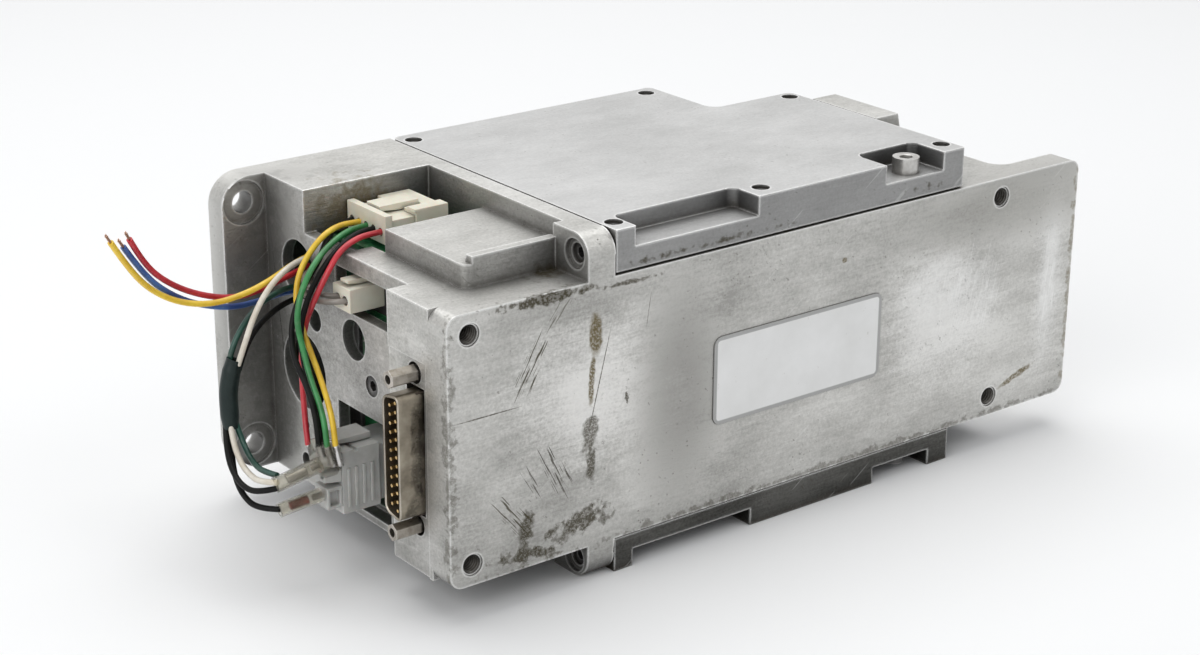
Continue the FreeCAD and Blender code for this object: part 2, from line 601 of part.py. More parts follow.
def make_boards():
    """Control and power boards on their pillars, and the riser behind the D connector."""
    for label, side in (("control_board", "control"), ("power_board", "power")):
        level = f"{side}_level"
        body = new_body(label)
        pad(body, "xy", level, f"{level} + board", board_outline(f"{side}_left", f"{side}_right"))
        pocket(body, "xy", f"{level} - 1", f"{level} + board + 1", centres=PILLARS,
               radius="board_hole")
        subpart(body, label)
    riser = new_body("riser_board")
    pad(riser, "yz", "riser_left", "riser_left + board",
        rectangle("plate_thick + fit_gap", "riser_back", "riser_low", "riser_high"))
    pins = [("dsub_in", "dsub_up - 12 * pin_pitch / 2"), ("dsub_in", "dsub_up + 12 * pin_pitch / 2")]
    pocket(riser, "yz", "riser_left - 1", "riser_left + 3", centres=pins, radius="0.45")
    subpart(riser, "riser_board")
    posts = [hexagon("z", centre, "standoff_flats", POWER_TOP, "control_level") for centre in PILLARS]
    subpart(group(posts), "board_standoffs")
    screws = []
    for centre in PILLARS:
        head = rod("z", centre, "board_screw_head", CONTROL_TOP,
                   f"{CONTROL_TOP} + 0.8 * fit_gap + 1.4")
        shank = rod("z", centre, "board_screw", "control_level", CONTROL_TOP)
        screws.append(fused([head, shank]))
    subpart(group(screws), "board_screws")
    feet = []
    for y in ("riser_back - 6", "board_front + 2"):
        feet.append(block(("riser_left + board", "riser_left + board + bracket"),
                          (f"{y} - bracket / 2", f"{y} + bracket / 2"),
                          ("power_level - bracket", "power_level")))
    subpart(group(feet), "riser_brackets")


def make_board_parts():
    """Packages on the control board, parts hung under the power board and on the plate's inside."""
    chips = [("70", "40", "14", "14", "1.4"), ("96", "40", "20", "7.5", "2.2"),
             ("96", "58", "20", "7.5", "2.2"), ("70", "70", "9", "9", "1.6"),
             ("130", "34", "22", "22", "2.4"), ("166", "40", "10", "5", "1.8"),
             ("166", "52", "10", "5", "1.8"), ("135", "72", "12", "6", "2.8")]
    packages = [block((x, f"{x} + {w}"), (y, f"{y} + {d}"), (CONTROL_TOP, f"{CONTROL_TOP} + {rise}"))
                for x, y, w, d, rise in chips]
    subpart(group(packages), "board_chips")
    cans = []
    for x in ("can_left", "can_left + can_pitch"):
        for y in ("can_front", "can_front + can_pitch"):
            can = rod("z", (x, y), "can_radius", "power_level - can_height", "power_level")
            groove = doc.addObject("Part::Torus", "groove")
            tie(groove, "Radius1", "can_radius + 0.4")
            tie(groove, "Radius2", "groove")
            for axis, place in zip("xyz", (x, y, "power_level - groove_up")):
                tie(groove, f"Placement.Base.{axis}", place)
            cans.append(cut(can, [groove]))
    subpart(group(cans), "bus_capacitors")
    pad_back, module_back = "plate_thick + heat_pad", "plate_thick + heat_pad + module_thick"
    subpart(block(("module_left - heat_pad_edge", "module_right + heat_pad_edge"),
                  ("plate_thick", pad_back),
                  ("module_low - heat_pad_edge", "module_high + heat_pad_edge")), "thermal_pad")
    module = block(("module_left", "module_right"), (pad_back, module_back),
                   ("module_low", "module_high"))
    middle = "(module_low + module_high) / 2"
    corners = [("module_left + module_screw_in", middle), ("module_right - module_screw_in", middle)]
    holes = [rod("y", place, "module_screw", "plate_thick", f"{module_back} + 1") for place in corners]
    subpart(cut(module, holes), "power_module")
    heads = [rod("y", place, "module_head", module_back, f"{module_back} + 3") for place in corners]
    subpart(group(heads), "module_screws")
    ring = doc.addObject("Part::Torus", "ring")
    tie(ring, "Radius1", "ring_radius")
    tie(ring, "Radius2", "ring_thick")
    for axis, place in zip("xyz", ("ring_in", "ring_back", "power_level - ring_thick")):
        tie(ring, f"Placement.Base.{axis}", place)
    subpart(ring, "filter_inductor")
    shunts = [block((x, f"{x} + shunt_long"), ("shunt_front", "shunt_front + shunt_wide"),
                    (POWER_TOP, f"{POWER_TOP} + shunt_rise"))
              for x in ("60", "80", "125")]
    subpart(group(shunts), "shunt_resistors")


# ------------------------------------------------------------------ D connector
def dsub_outline(grow):
    """The D shape, wide side towards the plate; grow moves every side outwards."""
    high, low = f"dsub_up + dsub_long / 2 + {grow}", f"dsub_up - dsub_long / 2 - ({grow})"
    front, back = f"dsub_in - dsub_wide / 2 - ({grow})", f"dsub_in + dsub_wide / 2 + {grow}"
    return [(front, low), (back, f"{low} + dsub_taper * 2"), (back, f"{high} - dsub_taper * 2"),
            (front, high)]


def make_dsub():
    shell = new_body("dsub_shell")
    reach = "-dsub_reach"
    pad(shell, "yz", reach, "block_wall", dsub_outline("0"))
    plate = rectangle("dsub_in - dsub_plate_wide / 2", "dsub_in + dsub_plate_wide / 2",
                      "dsub_up - dsub_plate_long / 2", "dsub_up + dsub_plate_long / 2")
    pad(shell, "yz", "block_wall + 0.05", "block_wall + dsub_plate", plate)
    pad(shell, "yz", "block_wall - 1", "block_wall + dsub_plate", dsub_outline("0"))
    pocket(shell, "yz", "-dsub_reach - 1", "block_wall + dsub_plate + 1",
           dsub_outline("-dsub_skin"))
    jacks = [("dsub_in", f"dsub_up {sign} dsub_pitch / 2") for sign in "+-"]
    pocket(shell, "yz", "block_wall - 0.5", "block_wall + dsub_plate + 1", centres=jacks,
           radius="1.6")
    subpart(shell, "dsub_shell")
    body = new_body("dsub_insulator")
    pad(body, "yz", "-1.6", "riser_left - 2", dsub_outline("-dsub_skin - 0.05"))
    subpart(body, "dsub_insulator")
    pins = []
    for row, count in ((-1, 13), (1, 12)):
        for i in range(count):
            place = (f"dsub_in + {row} * row_pitch / 2", f"dsub_up + {i - (count - 1) / 2} * pin_pitch")
            pins.append(rod("x", place, "pin_radius", "-dsub_reach + 1.2", "-1.6"))
            pins.append(rod("x", place, "pin_radius - 0.1", "riser_left - 2", "riser_left"))
    subpart(group(pins), "dsub_pins")
    screws = []
    for centre in jacks:
        head = hexagon("x", centre, "jack_flats", "-dsub_reach", "block_relief - 0.2")
        neck = rod("x", centre, "2.3", "block_relief - 0.3", "block_wall")
        shank = rod("x", centre, "1.5", "block_wall - 0.5", "block_wall + dsub_plate + 3")
        nut = hexagon("x", centre, "jack_flats", "block_wall + dsub_plate",
                      "block_wall + dsub_plate + 2.4")
        thread = rod("x", centre, "jack_thread", "-dsub_reach - 1", "-1.5")
        screws.append(cut(fused([head, neck, shank, nut]), [thread]))
    subpart(group(screws), "jack_screws")


# ------------------------------------------------------------------ board connectors
def make_latch(label, x, y, under, thick):
    """A rocking latch over a plug; its underside rises towards the outer end, which is pressed."""
    outer, inner = x
    body = new_body(label)
    pad(body, "xz", *y, [(outer, f"{under} + latch_relief"), (f"({outer} + {inner}) / 2", under),
                         (inner, under), (inner, f"{under} + {thick}"),
                         (outer, f"{under} + {thick}")])
    subpart(body, label)


def make_five_way():
    """White plug in its side-entry header on the control board."""
    low = CONTROL_TOP
    front, back = "five_front", "five_front + 5 * five_pitch"
    header_left = "five_left + five_plug - 2"
    header_right = f"{header_left} + five_header"
    shell = block((header_left, header_right), (f"{front} - five_skin", f"{back} + five_skin"),
                  (low, f"{low} + five_rise + five_lift"))
    well = block((f"{header_left} - 1", f"{header_right} - 3"), (f"{front} - 0.05", f"{back} + 0.05"),
                 (f"{low} + five_lift", f"{low} + five_rise + 0.1"))
    notch = block((f"{header_left} - 1", f"{header_right} - 5"), (f"{front} + 6", f"{back} - 4"),
                  (f"{low} + five_rise", f"{low} + five_rise + 3"))
    rib = block((f"{header_left} - 0.5", header_right), (f"{front} - five_skin", f"{front} + 3.6"),
                (f"{low} + five_rise + 1.1", f"{low} + five_rise + 2.2"))
    subpart(fused([cut(shell, [well, notch]), rib]), "five_way_header")
    nose = block(("five_left + 2", f"{header_right} - 3.1"), (front, back),
                 (f"{low} + five_lift + 0.1", f"{low} + five_rise"))
    bar = block(("five_left", "five_left + bar_thick"), (f"{front} - 0.8", f"{back} + 0.8"),
                (f"{low} + five_lift + 0.1", f"{low} + five_rise + 2"))
    cavities = [rod("x", (f"{front} + {i + 0.5} * five_pitch", f"{low} + 5"), "five_cavity",
                    "five_left - 1", "five_left + 5") for i in range(5)]
    subpart(cut(fused([nose, bar]), cavities), "five_way_plug")
    make_latch("five_way_latch", ("five_left + 3.2", f"{header_right} - 5.4"),
               (f"{front} + 7", f"{back} - 5.4"), f"{low} + five_rise + fit_gap",
               "five_thick")


def make_two_way():
    """Cream plug in the window, in its header on the power board."""
    low = "power_level + board + two_lift"
    front, back = "two_front", "two_front + two_wide"
    nose = block(("two_left", "two_left + two_plug"), (front, back), (low, f"{low} + two_rise"))
    cavities = [rod("x", (f"{front} + 2.8 + two_pitch * {i}", f"{low} + 3.4"), "two_cavity", "two_left - 1",
                    "two_left + 6") for i in range(2)]
    subpart(cut(nose, cavities), "two_way_plug")
    header = block(("two_left + two_plug", "two_left + two_plug + two_header"),
                   (f"{front} - two_skin", f"{back} + two_skin"), (POWER_TOP, f"{low} + two_rise + 1"))
    subpart(header, "two_way_header")
    make_latch("two_way_latch", ("two_left + 1", "two_left + two_plug - 0.6"),
               (f"{front} + 2.8", f"{back} - 2.8"), f"{low} + two_rise + fit_gap", "two_thick")


def make_grey():
    """Grey connector in the lower window, on the riser board, with its clear wire boot."""
    middle = "grey_left + grey_plug"
    socket = block((middle, "riser_left"), ("grey_front + 1", "grey_back - 1"),
                   ("grey_low + 1", "grey_high - 1"))
    subpart(socket, "grey_socket")
    nose = block(("grey_left", middle), ("grey_front", "grey_back"), ("grey_low", "grey_high"))
    groove = block(("grey_left + 4", "grey_left + 4 + grey_groove"), ("grey_front - 1", "grey_back + 1"),
                   ("grey_high - 0.8", "grey_high + 1"))
    subpart(cut(nose, [groove]), "grey_plug")
    make_latch("grey_latch", ("grey_left + 1", f"{middle} - 0.5"),
               ("grey_front + 4", "grey_back - 4"), "grey_high + fit_gap", "grey_thick")
    boot = block(("grey_left - boot_long", "grey_left"), ("grey_front - 2", "grey_front + 8.5"),
                 ("grey_low + 5", "grey_high + 4"))
    subpart(boot, "wire_boot")


# ------------------------------------------------------------------ leads
def route_wire(points):
    """Straight runs joined by tangent arcs, each as large as its two runs allow."""
    edges, radii = [], []
    start = points[0]
    for before, corner, after in zip(points, points[1:], points[2:]):
        into, away = (before - corner), (after - corner)
        shorter = min(into.Length, away.Length)
        into.normalize()
        away.normalize()
        half_turn = (math.pi - into.getAngle(away)) / 2
        reach = 0.45 * shorter
        radius = reach / math.tan(half_turn)
        radii.append(radius)
        first, last = corner + into * reach, corner + away * reach
        inward = into + away
        inward.normalize()
        middle = corner + inward * (radius / math.cos(half_turn) - radius)
        edges += [Part.LineSegment(start, first).toShape(), Part.Arc(first, middle, last).toShape()]
        start = last
    edges.append(Part.LineSegment(start, points[-1]).toShape())
    return Part.Wire(edges), radii


def make_lead(label, points, diameter):
    """A round lead along a route of chosen points."""
    route = [V(*point) for point in points]
    wire, radii = route_wire(route)
    section = Part.Wire(Part.makeCircle(diameter / 2, route[0], route[1] - route[0]))
    item = doc.addObject("Part::Feature", label)
    item.Shape = wire.makePipeShell([section], True, False)
    area = math.pi * diameter ** 2 / 4
    turns = ", ".join(f"{radius:.1f}" for radius in radii)
    print(f"{label}: length {wire.Length:.1f}, volume ratio "
          f"{item.Shape.Volume / (area * wire.Length):.4f}, radii {turns}")
    subpart(item, label)


LEAD = 2 * size("lead_radius")
LEADS = {
    # five leads of the white plug, over the bar and down to the boot
    "yellow_lead": [(26, 79.1, 85.6), (20, 78.8, 85.8), (13, 75.8, 87.2), (5.6, 72.8, 86.4),
                    (-0.4, 72.6, 81), (-4.2, 72, 75), (-6, 70.4, 68.4), (-6.6, 66.6, 61.8),
                    (-7, 60.6, 55.2), (-8.2, 53.6, 49.4), (-9.6, 47.2, 43.6), (-10.3, 44, 38),
                    (-10.4, 43.4, 32.6)],
    "green_lead": [(26, 75.1, 85.6), (20, 74.9, 85.6), (13, 72, 86.2), (4, 68, 84.4), (-4, 64, 80.6),
                   (-9.4, 61.8, 74), (-11.4, 61.2, 66.2), (-10.7, 59.2, 58.4), (-11, 55.4, 50.6),
                   (-11.6, 49, 44), (-12.4, 45.2, 38.2), (-12.7, 44.2, 32.6)],
    "black_lead": [(26, 83, 85.6), (20, 82.6, 85.4), (13.5, 79, 85.5), (7.4, 73.9, 84.7),
                   (2.6, 70.2, 80), (-2.6, 69, 75.4), (-8.4, 65.4, 70.4), (-11.7, 64.2, 63.2),
                   (-13.2, 60.4, 55.4), (-13.2, 53.6, 49.2), (-13.4, 49.6, 43), (-13.9, 47.3, 37.4),
                   (-14, 46.7, 32.2)],
    "second_black_lead": [(26, 71.1, 85.6), (20, 70.8, 85.7), (12.6, 67.8, 86.2), (4.4, 65.2, 83),
                          (-1.6, 64.6, 77.4), (-5.8, 64.4, 70.6), (-8.4, 64.4, 62.8),
                          (-9.2, 62.2, 54.8), (-10.4, 57.6, 47.8), (-11.2, 52.6, 41.6),
                          (-11.5, 50, 36), (-11.6, 48.9, 31.4)],
    "red_lead": [(26, 67.2, 85.6), (20, 66.9, 85.7), (12.4, 64.8, 86.3), (5, 63.2, 84),
                 (-0.4, 62.4, 77.4), (-4.5, 63.8, 69), (-4.3, 68.6, 61.4), (-7.2, 66.2, 53.4),
                 (-10, 61.6, 46.4), (-12.8, 56.2, 40.8), (-14.7, 52.4, 35.8), (-15, 51, 31.6)],
    # leads of the two-way plug, into the cable hole
    "grey_lead": [(7.3, 61.3, 70.7), (3.2, 61.5, 70.8), (0, 64.2, 71.2), (-1.5, 69.2, 71.9),
                  (-0.4, 75, 72.2), (3, 80.4, 72.1), (8, 84.6, 71.8)],
    "second_grey_lead": [(7.6, 57.3, 70.7), (3.3, 57.4, 70.6), (-0.4, 60, 70.3), (-1.9, 65.2, 69.5),
                         (-1.8, 71, 69), (0.6, 77, 68.8), (5.2, 82, 68.8), (10.4, 85.6, 68.8)],
    # free leads out of the cable hole
    "free_yellow_lead": [(11, 89.5, 74.6), (3, 86, 74.6), (-7, 81, 73.2), (-18, 77.8, 71.7),
                         (-30, 76.6, 71.2), (-41, 76, 74.3), (-51, 74, 81), (-58.5, 71.5, 90),
                         (-64.6, 68.4, 99.4)],
    "free_red_lead": [(11, 91, 70.6), (2, 88.4, 69.9), (-9, 84.5, 69), (-21, 81.5, 69.6),
                      (-33, 79.6, 74), (-43.5, 77.4, 80.4), (-52, 74.4, 88.6), (-57.9, 70.4, 98.4)],
    "free_blue_lead": [(11, 93, 62.6), (2.4, 91, 64), (-9, 86.6, 64.8), (-20, 83.4, 66),
                       (-32, 80.8, 70.2), (-43, 77.6, 76.8), (-52.4, 74.2, 85.6), (-59.5, 71.2, 96.3)],
    # side bundle out of the cable hole, down into the dark sleeve
    "white_lead": [(11, 87, 75.2), (3, 82.9, 76.3), (-5.2, 78.6, 75.6), (-12.4, 76.5, 71.4),
                   (-17.7, 75.2, 65), (-21, 74.8, 58), (-23.4, 75.6, 51)],
    "outer_dark_lead": [(10.8, 89.2, 65.4), (2, 86.4, 67.2), (-7, 83, 67.4), (-15, 80.5, 64.6),
                        (-21, 79, 59.4), (-24.4, 78.9, 52.6), (-25.2, 78.8, 47.6)],
    "inner_black_lead": [(11, 89.6, 62.4), (2.6, 86.6, 63), (-6, 82.8, 62.6), (-13.4, 80.2, 60),
                         (-19.2, 78.2, 55.2), (-22.4, 77.1, 48.8)],
    # leads from the sleeve to the crimp sleeves
    "low_white_lead": [(-27.1, 75.1, 33.2), (-27.8, 72.8, 28.2), (-28.6, 67.2, 23.8),
                       (-29.6, 60.2, 22.8), (-30.2, 53.4, 23.2), (-27.2, 48.1, 24.2)],
    "low_black_lead": [(-27.6, 77.2, 33.2), (-29.4, 74.4, 27.4), (-31.4, 68.2, 22.4),
                       (-32.2, 60.8, 19.8), (-31, 53.8, 19.8), (-26.9, 49, 22)],
    "lower_black_lead": [(-25.6, 77.3, 33.2), (-27.2, 75.2, 26.6), (-30.2, 69, 20.4),
                         (-31.6, 61.8, 16.4), (-30.9, 54.6, 14.4), (-26.8, 48.6, 15.4)],
    "low_green_lead": [(-25.2, 75.3, 33.2), (-24.2, 74, 27.8), (-25, 68.4, 24.4), (-26.2, 61.6, 23.8),
                       (-27, 55.4, 24.8), (-26.2, 50.2, 25.4)],
}
SLEEVES = {
    "dark_sleeve": ([(-23.6, 77.2, 52.5), (-25.6, 77.6, 46), (-26.5, 77, 39), (-26.4, 76.2, 31.6)],
                    5.6),
    "upper_sleeve": ([(-28, 48.8, 23.2), (-21, 47, 25.4), (-14, 46.4, 27.2)], 4.8),
    "lower_sleeve": ([(-27.4, 48, 15.4), (-21, 47, 16.6), (-14, 46.4, 17.4)], 4.4),
}


def make_leads():
    for label, points in LEADS.items():
        make_lead(label, points, LEAD)
    for label, (points, diameter) in SLEEVES.items():
        make_lead(label, points, diameter)
    tips = []
    for label in ("free_yellow_lead", "free_red_lead", "free_blue_lead"):
        before, end = (V(*point) for point in LEADS[label][-2:])
        tips.append(Part.makeCylinder(0.55, 3.5, end, end - before))
    item = doc.addObject("Part::Feature", "bare_tips")
    item.Shape = Part.makeCompound(tips)
    subpart(item, "bare_tips")


make_casting()
make_lid("top_cover", "plate_height", "+", "top_rise", "floor_rise")
make_lid("bottom_cover", "0", "-", "bottom_drop", "floor_drop")
make_gasket("top_gasket", "plate_height", "+")
make_gasket("bottom_gasket", "0", "-")
make_lid_screws("top_cover_screws", "plate_height", "+", "top_rise")
make_lid_screws("bottom_cover_screws", "0", "-", "bottom_drop")
make_clamp_screws()
make_lug_screws()
make_stud()
make_label()
make_boards()
make_board_parts()
make_dsub()
make_five_way()
make_two_way()
make_grey()
make_leads()

# ------------------------------------------------------------------ check and write
doc.recompute()
faults = [f"{item.Label}: {item.getStatusString()}" for item in doc.Objects
          if "Invalid" in item.State or "Error" in item.State]
if faults:
    raise RuntimeError("; ".join(faults))
os.makedirs("parts", exist_ok=True)
for item in finished:
    if item.Shape.isNull() or not item.Shape.isValid():
        raise RuntimeError(f"{item.Label} has no valid shape")
    item.Shape.exportStep(f"parts/{item.Label}.step")
    print(f"{item.Label}: {len(item.Shape.Solids)} solid(s), {item.Shape.Volume / 1000:.2f} cm3")
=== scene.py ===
"""Servo drive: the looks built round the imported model.

Places are given in the mounting plate's own corner frame, in millimetres: X along the plate, Y from
its face into the body, Z up from its lower edge.
"""
import math

import bmesh
import bpy
from mathutils import Matrix, Vector


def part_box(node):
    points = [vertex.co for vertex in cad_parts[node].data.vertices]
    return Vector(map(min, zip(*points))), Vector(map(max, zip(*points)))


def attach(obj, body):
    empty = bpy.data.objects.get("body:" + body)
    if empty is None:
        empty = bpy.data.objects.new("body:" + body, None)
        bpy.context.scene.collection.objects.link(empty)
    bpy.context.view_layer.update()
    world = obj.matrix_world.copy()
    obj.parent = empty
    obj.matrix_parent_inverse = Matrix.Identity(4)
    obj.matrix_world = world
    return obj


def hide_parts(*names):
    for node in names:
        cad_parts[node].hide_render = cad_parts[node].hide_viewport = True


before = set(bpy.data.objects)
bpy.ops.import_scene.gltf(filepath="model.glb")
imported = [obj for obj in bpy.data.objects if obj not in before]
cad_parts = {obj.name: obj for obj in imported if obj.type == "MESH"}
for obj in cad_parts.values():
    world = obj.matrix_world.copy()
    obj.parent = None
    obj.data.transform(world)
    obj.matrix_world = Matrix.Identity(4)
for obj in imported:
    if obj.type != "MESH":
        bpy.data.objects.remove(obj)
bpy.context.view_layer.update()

MM = 0.001
LABEL_LOW = Vector((96.0, -0.4, 26.8))
CORNER = Vector(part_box("label_plate")[0]) - LABEL_LOW * MM


def at(x, y, z):
    """A place in the plate's corner frame, as metres in the drive's own frame."""
    return CORNER + Vector((x, y, z)) * MM


bpy.ops.object.select_all(action="DESELECT")


# ------------------------------------------------------------------ shader building
def add_node(tree, kind, settings=None, **links):
    """A node with its settings and its inputs, each a socket to join or a plain value."""
    item = tree.nodes.new(kind)
    for key, value in (settings or {}).items():
        setattr(item, key, value)
    for key, value in links.items():
        name = int(key[1:]) if key[0] == "i" and key[1:].isdigit() else key.replace("_", " ")
        if isinstance(value, bpy.types.NodeSocket):
            tree.links.new(value, item.inputs[name])
        else:
            item.inputs[name].default_value = value
    return item


def numbered(values):
    return {f"i{index}": value for index, value in enumerate(values)}


def maths(tree, how, *values, clamp=False):
    return add_node(tree, "ShaderNodeMath", {"operation": how, "use_clamp": clamp},
                    **numbered(values)).outputs[0]


def times(tree, a, b):
    return maths(tree, "MULTIPLY", a, b)


def less(tree, a, b):
    return maths(tree, "SUBTRACT", a, b)


def vector_maths(tree, how, *values):
    """A vector node's outputs: a vector first, and a "Value" where the result is a number."""
    return add_node(tree, "ShaderNodeVectorMath", {"operation": how}, **numbered(values)).outputs


def ramp(tree, factor, low, high, out_low=0.0, out_high=1.0):
    """A clamped straight ramp of a factor."""
    return add_node(tree, "ShaderNodeMapRange", None, Value=factor, From_Min=low, From_Max=high,
                    To_Min=out_low, To_Max=out_high).outputs[0]


def blend(tree, factor, first, second, how="MIX"):
    """One colour laid over another; each is a socket or three numbers."""
    item = add_node(tree, "ShaderNodeMix", {"data_type": "RGBA", "blend_type": how})
    for index, value in ((0, factor), (6, first), (7, second)):
        if isinstance(value, bpy.types.NodeSocket):
            tree.links.new(value, item.inputs[index])
        elif index == 0:
            item.inputs[0].default_value = value
        else:
            item.inputs[index].default_value = (*value, 1)
    return item.outputs[2]


def noise(tree, place, scale, detail=3.0, rough=0.55):
    return add_node(tree, "ShaderNodeTexNoise", None, Vector=place, Scale=scale, Detail=detail,
                    Roughness=rough).outputs["Fac"]


def spread(tree, place, sizes):
    """Object coordinates stretched."""
    return add_node(tree, "ShaderNodeMapping", None, Vector=place, Scale=sizes).outputs[0]


def object_place(tree):
    return add_node(tree, "ShaderNodeTexCoord").outputs["Object"]


def normal_of(tree):
    return add_node(tree, "ShaderNodeNewGeometry").outputs["Normal"]


def cells(tree, place, scale, settings=None):
    return add_node(tree, "ShaderNodeTexVoronoi", settings, Vector=place, Scale=scale).outputs[0]


def lay(tree, colour, cover, strength, tint):
    """A tint laid over a colour, where the cover says and as strong as asked."""
    return blend(tree, times(tree, cover, strength), colour, tint)


def new_group(name, inputs, outputs):
    """An empty shader group: inputs and outputs are {name: (kind, default)}."""
    group = bpy.data.node_groups.new(name, "ShaderNodeTree")
    for label, (kind, value) in inputs.items():
        socket = group.interface.new_socket(name=label, in_out="INPUT", socket_type="NodeSocket" + kind)
        if value is not None:
            socket.default_value = value
    for label, kind in outputs.items():
        group.interface.new_socket(name=label, in_out="OUTPUT", socket_type="NodeSocket" + kind)
    return group, group.nodes.new("NodeGroupInput").outputs, group.nodes.new("NodeGroupOutput").inputs


def use_group(tree, group, **links):
    item = tree.nodes.new("ShaderNodeGroup")
    item.node_tree = group
    for key, value in links.items():
        socket = item.inputs[key.replace("_", " ")]
        if isinstance(value, bpy.types.NodeSocket):
            tree.links.new(value, socket)
        else:
            socket.default_value = value
    return item.outputs


def new_material(name, rough=0.5, **sockets):
    """A material, its tree and its shader, with plain values on the shader's own sockets."""
    material = bpy.data.materials.new(name)
    material.use_nodes = True
    shader = material.node_tree.nodes["Principled BSDF"]
    shader.inputs["Roughness"].default_value = rough
    for socket, number in sockets.items():
        shader.inputs[socket.replace("_", " ")].default_value = number
    return material, material.node_tree, shader


def finish_shader(tree, shader, colour, roughness, height, distance):
    """Joins a shader's colour, its roughness and its bump."""
    bump = add_node(tree, "ShaderNodeBump", None, Height=height, Distance=distance, Strength=1.0)
    for socket, source in (("Base Color", colour), ("Roughness", roughness), ("Normal", bump.outputs[0])):
        tree.links.new(source, shader.inputs[socket])


# ------------------------------------------------------------------ camera, floor and light
VIEW_RIGHT = Vector((0.7929, -0.6093, 0.0048))
VIEW_DOWN = Vector((-0.2119, -0.2832, -0.9354))
VIEW_AHEAD = Vector((0.57127, 0.74068, -0.35362))
CAMERA_PLACE = (-335.60, -503.67, 308.99)
LENS, SENSOR = 71.18, 36.0
LAMP_TARGET = Vector((0, 0, 0.05))
SEEN_WHITE = (0.905, 0.905, 0.905, 1)
FLOOR_SIZE, FADE_START, FADE_END = 12.0, 0.55, 1.5


def set_camera():
    lens = bpy.data.cameras.new("camera")
    lens.sensor_fit = "HORIZONTAL"
    lens.sensor_width = SENSOR
    lens.lens = LENS
    lens.clip_start = 0.01
    lens.clip_end = 50.0
    camera = bpy.data.objects.new("camera", lens)
    bpy.context.scene.collection.objects.link(camera)
    turn = Matrix((VIEW_RIGHT, -VIEW_DOWN, -VIEW_AHEAD)).transposed().to_4x4()
    camera.matrix_world = Matrix.Translation(at(*CAMERA_PLACE)) @ turn
    bpy.context.scene.camera = camera


def area_light(name, place, width, height, watts):
    """A soft lamp aimed at the middle of the drive."""
    lamp = bpy.data.lights.new(name, "AREA")
    lamp.shape = "RECTANGLE"
    lamp.size, lamp.size_y = width, height
    lamp.energy = watts
    obj = bpy.data.objects.new(name, lamp)
    bpy.context.scene.collection.objects.link(obj)
    obj.location = place
    obj.rotation_euler = (LAMP_TARGET - Vector(place)).to_track_quat("-Z", "Y").to_euler()


def set_studio():
    scene = bpy.context.scene
    scene.view_settings.view_transform = "Standard"
    world = bpy.data.worlds.new("studio")
    scene.world = world
    world.use_nodes = True
    tree = world.node_tree
    tree.nodes.clear()
    soft = add_node(tree, "ShaderNodeBackground", None, Color=(0.96, 0.98, 1.0, 1), Strength=0.46)
    seen = add_node(tree, "ShaderNodeBackground", None, Color=SEEN_WHITE)
    rays = add_node(tree, "ShaderNodeLightPath").outputs
    open_view = maths(tree, "MAXIMUM", rays["Is Camera Ray"], rays["Is Glossy Ray"])
    mixed = add_node(tree, "ShaderNodeMixShader", None, i0=open_view, i1=soft.outputs[0],
                     i2=seen.outputs[0])
    add_node(tree, "ShaderNodeOutputWorld", None, Surface=mixed.outputs[0])
    bpy.ops.mesh.primitive_plane_add(size=FLOOR_SIZE, location=(0, 0, 0))
    floor = bpy.context.object
    floor.name = "floor"
    paper, tree, shader = new_material("paper", 0.8, Specular_IOR_Level=0.1)
    shader.inputs["Base Color"].default_value = (0.92, 0.92, 0.92, 1)
    # far from the drive the paper is seen as plain white; near it the light and shadow are its own
    away = vector_maths(tree, "LENGTH", object_place(tree))["Value"]
    fade = add_node(tree, "ShaderNodeMapRange", {"interpolation_type": "SMOOTHSTEP"}, Value=away,
                    From_Min=FADE_START, From_Max=FADE_END).outputs[0]
    glow = add_node(tree, "ShaderNodeEmission", None, Color=SEEN_WHITE).outputs[0]
    camera_ray = add_node(tree, "ShaderNodeLightPath").outputs["Is Camera Ray"]
    mixed = add_node(tree, "ShaderNodeMixShader", None, i0=times(tree, fade, camera_ray),
                     i1=shader.outputs[0], i2=glow)
    tree.links.new(mixed.outputs[0], tree.nodes["Material Output"].inputs[0])
    floor.data.materials.append(paper)
    floor.select_set(False)
    area_light("overhead", (0.1, 0.45, 1.5), 1.6, 1.4, 14.6)
    area_light("front_right", (0.8, -1.0, 1.3), 0.9, 0.7, 3.3)
    area_light("left_front", (-1.4, -0.5, 0.9), 1.2, 1.0, 8.5)


set_camera()
set_studio()


# ------------------------------------------------------------------ wear, painted light and shade, and surface groups
def openness(tree, reach):
    """1 in the open, less where other faces are within reach."""
    return add_node(tree, "ShaderNodeAmbientOcclusion", {"samples": 6}, Distance=reach).outputs["AO"]


def make_edge_group():
    """Edges rubbed bright and given a painted highlight, crevices with dirt and painted shade, and painted
    shade in deeper places.
    """
    tree, given, out = new_group(
        "edges_and_crevices",
        {"Width": ("Float", 0.0012), "Depth": ("Float", 0.004), "Place": ("Vector", None)},
        {"Edge": "Float", "Crevice": "Float", "Shade": "Float"})
    soft = add_node(tree, "ShaderNodeBevel", {"samples": 4}, Radius=given["Width"]).outputs[0]
    same_way = vector_maths(tree, "DOT_PRODUCT", soft, normal_of(tree))["Value"]
    # rubbed and given a painted highlight where the rounded normal leaves the flat one, dirty and in
    # painted shade where little sky is left
    edge = ramp(tree, same_way, 0.995, 0.86)
    shut = ramp(tree, openness(tree, given["Depth"]), 0.84, 0.42)
    patchy = ramp(tree, noise(tree, given["Place"], 140.0, 4.0, 0.6), 0.35, 0.65, 0.5, 1.0)
    # painted shade: darker where other faces are within six times the depth
    round_about = openness(tree, times(tree, given["Depth"], 6.0))
    tree.links.new(ramp(tree, round_about, 0.3, 0.88, 0.3, 1.0), out["Shade"])
    tree.links.new(times(tree, edge, maths(tree, "SUBTRACT", 1.0, shut, clamp=True)), out["Edge"])
    tree.links.new(times(tree, shut, patchy), out["Crevice"])
    return tree


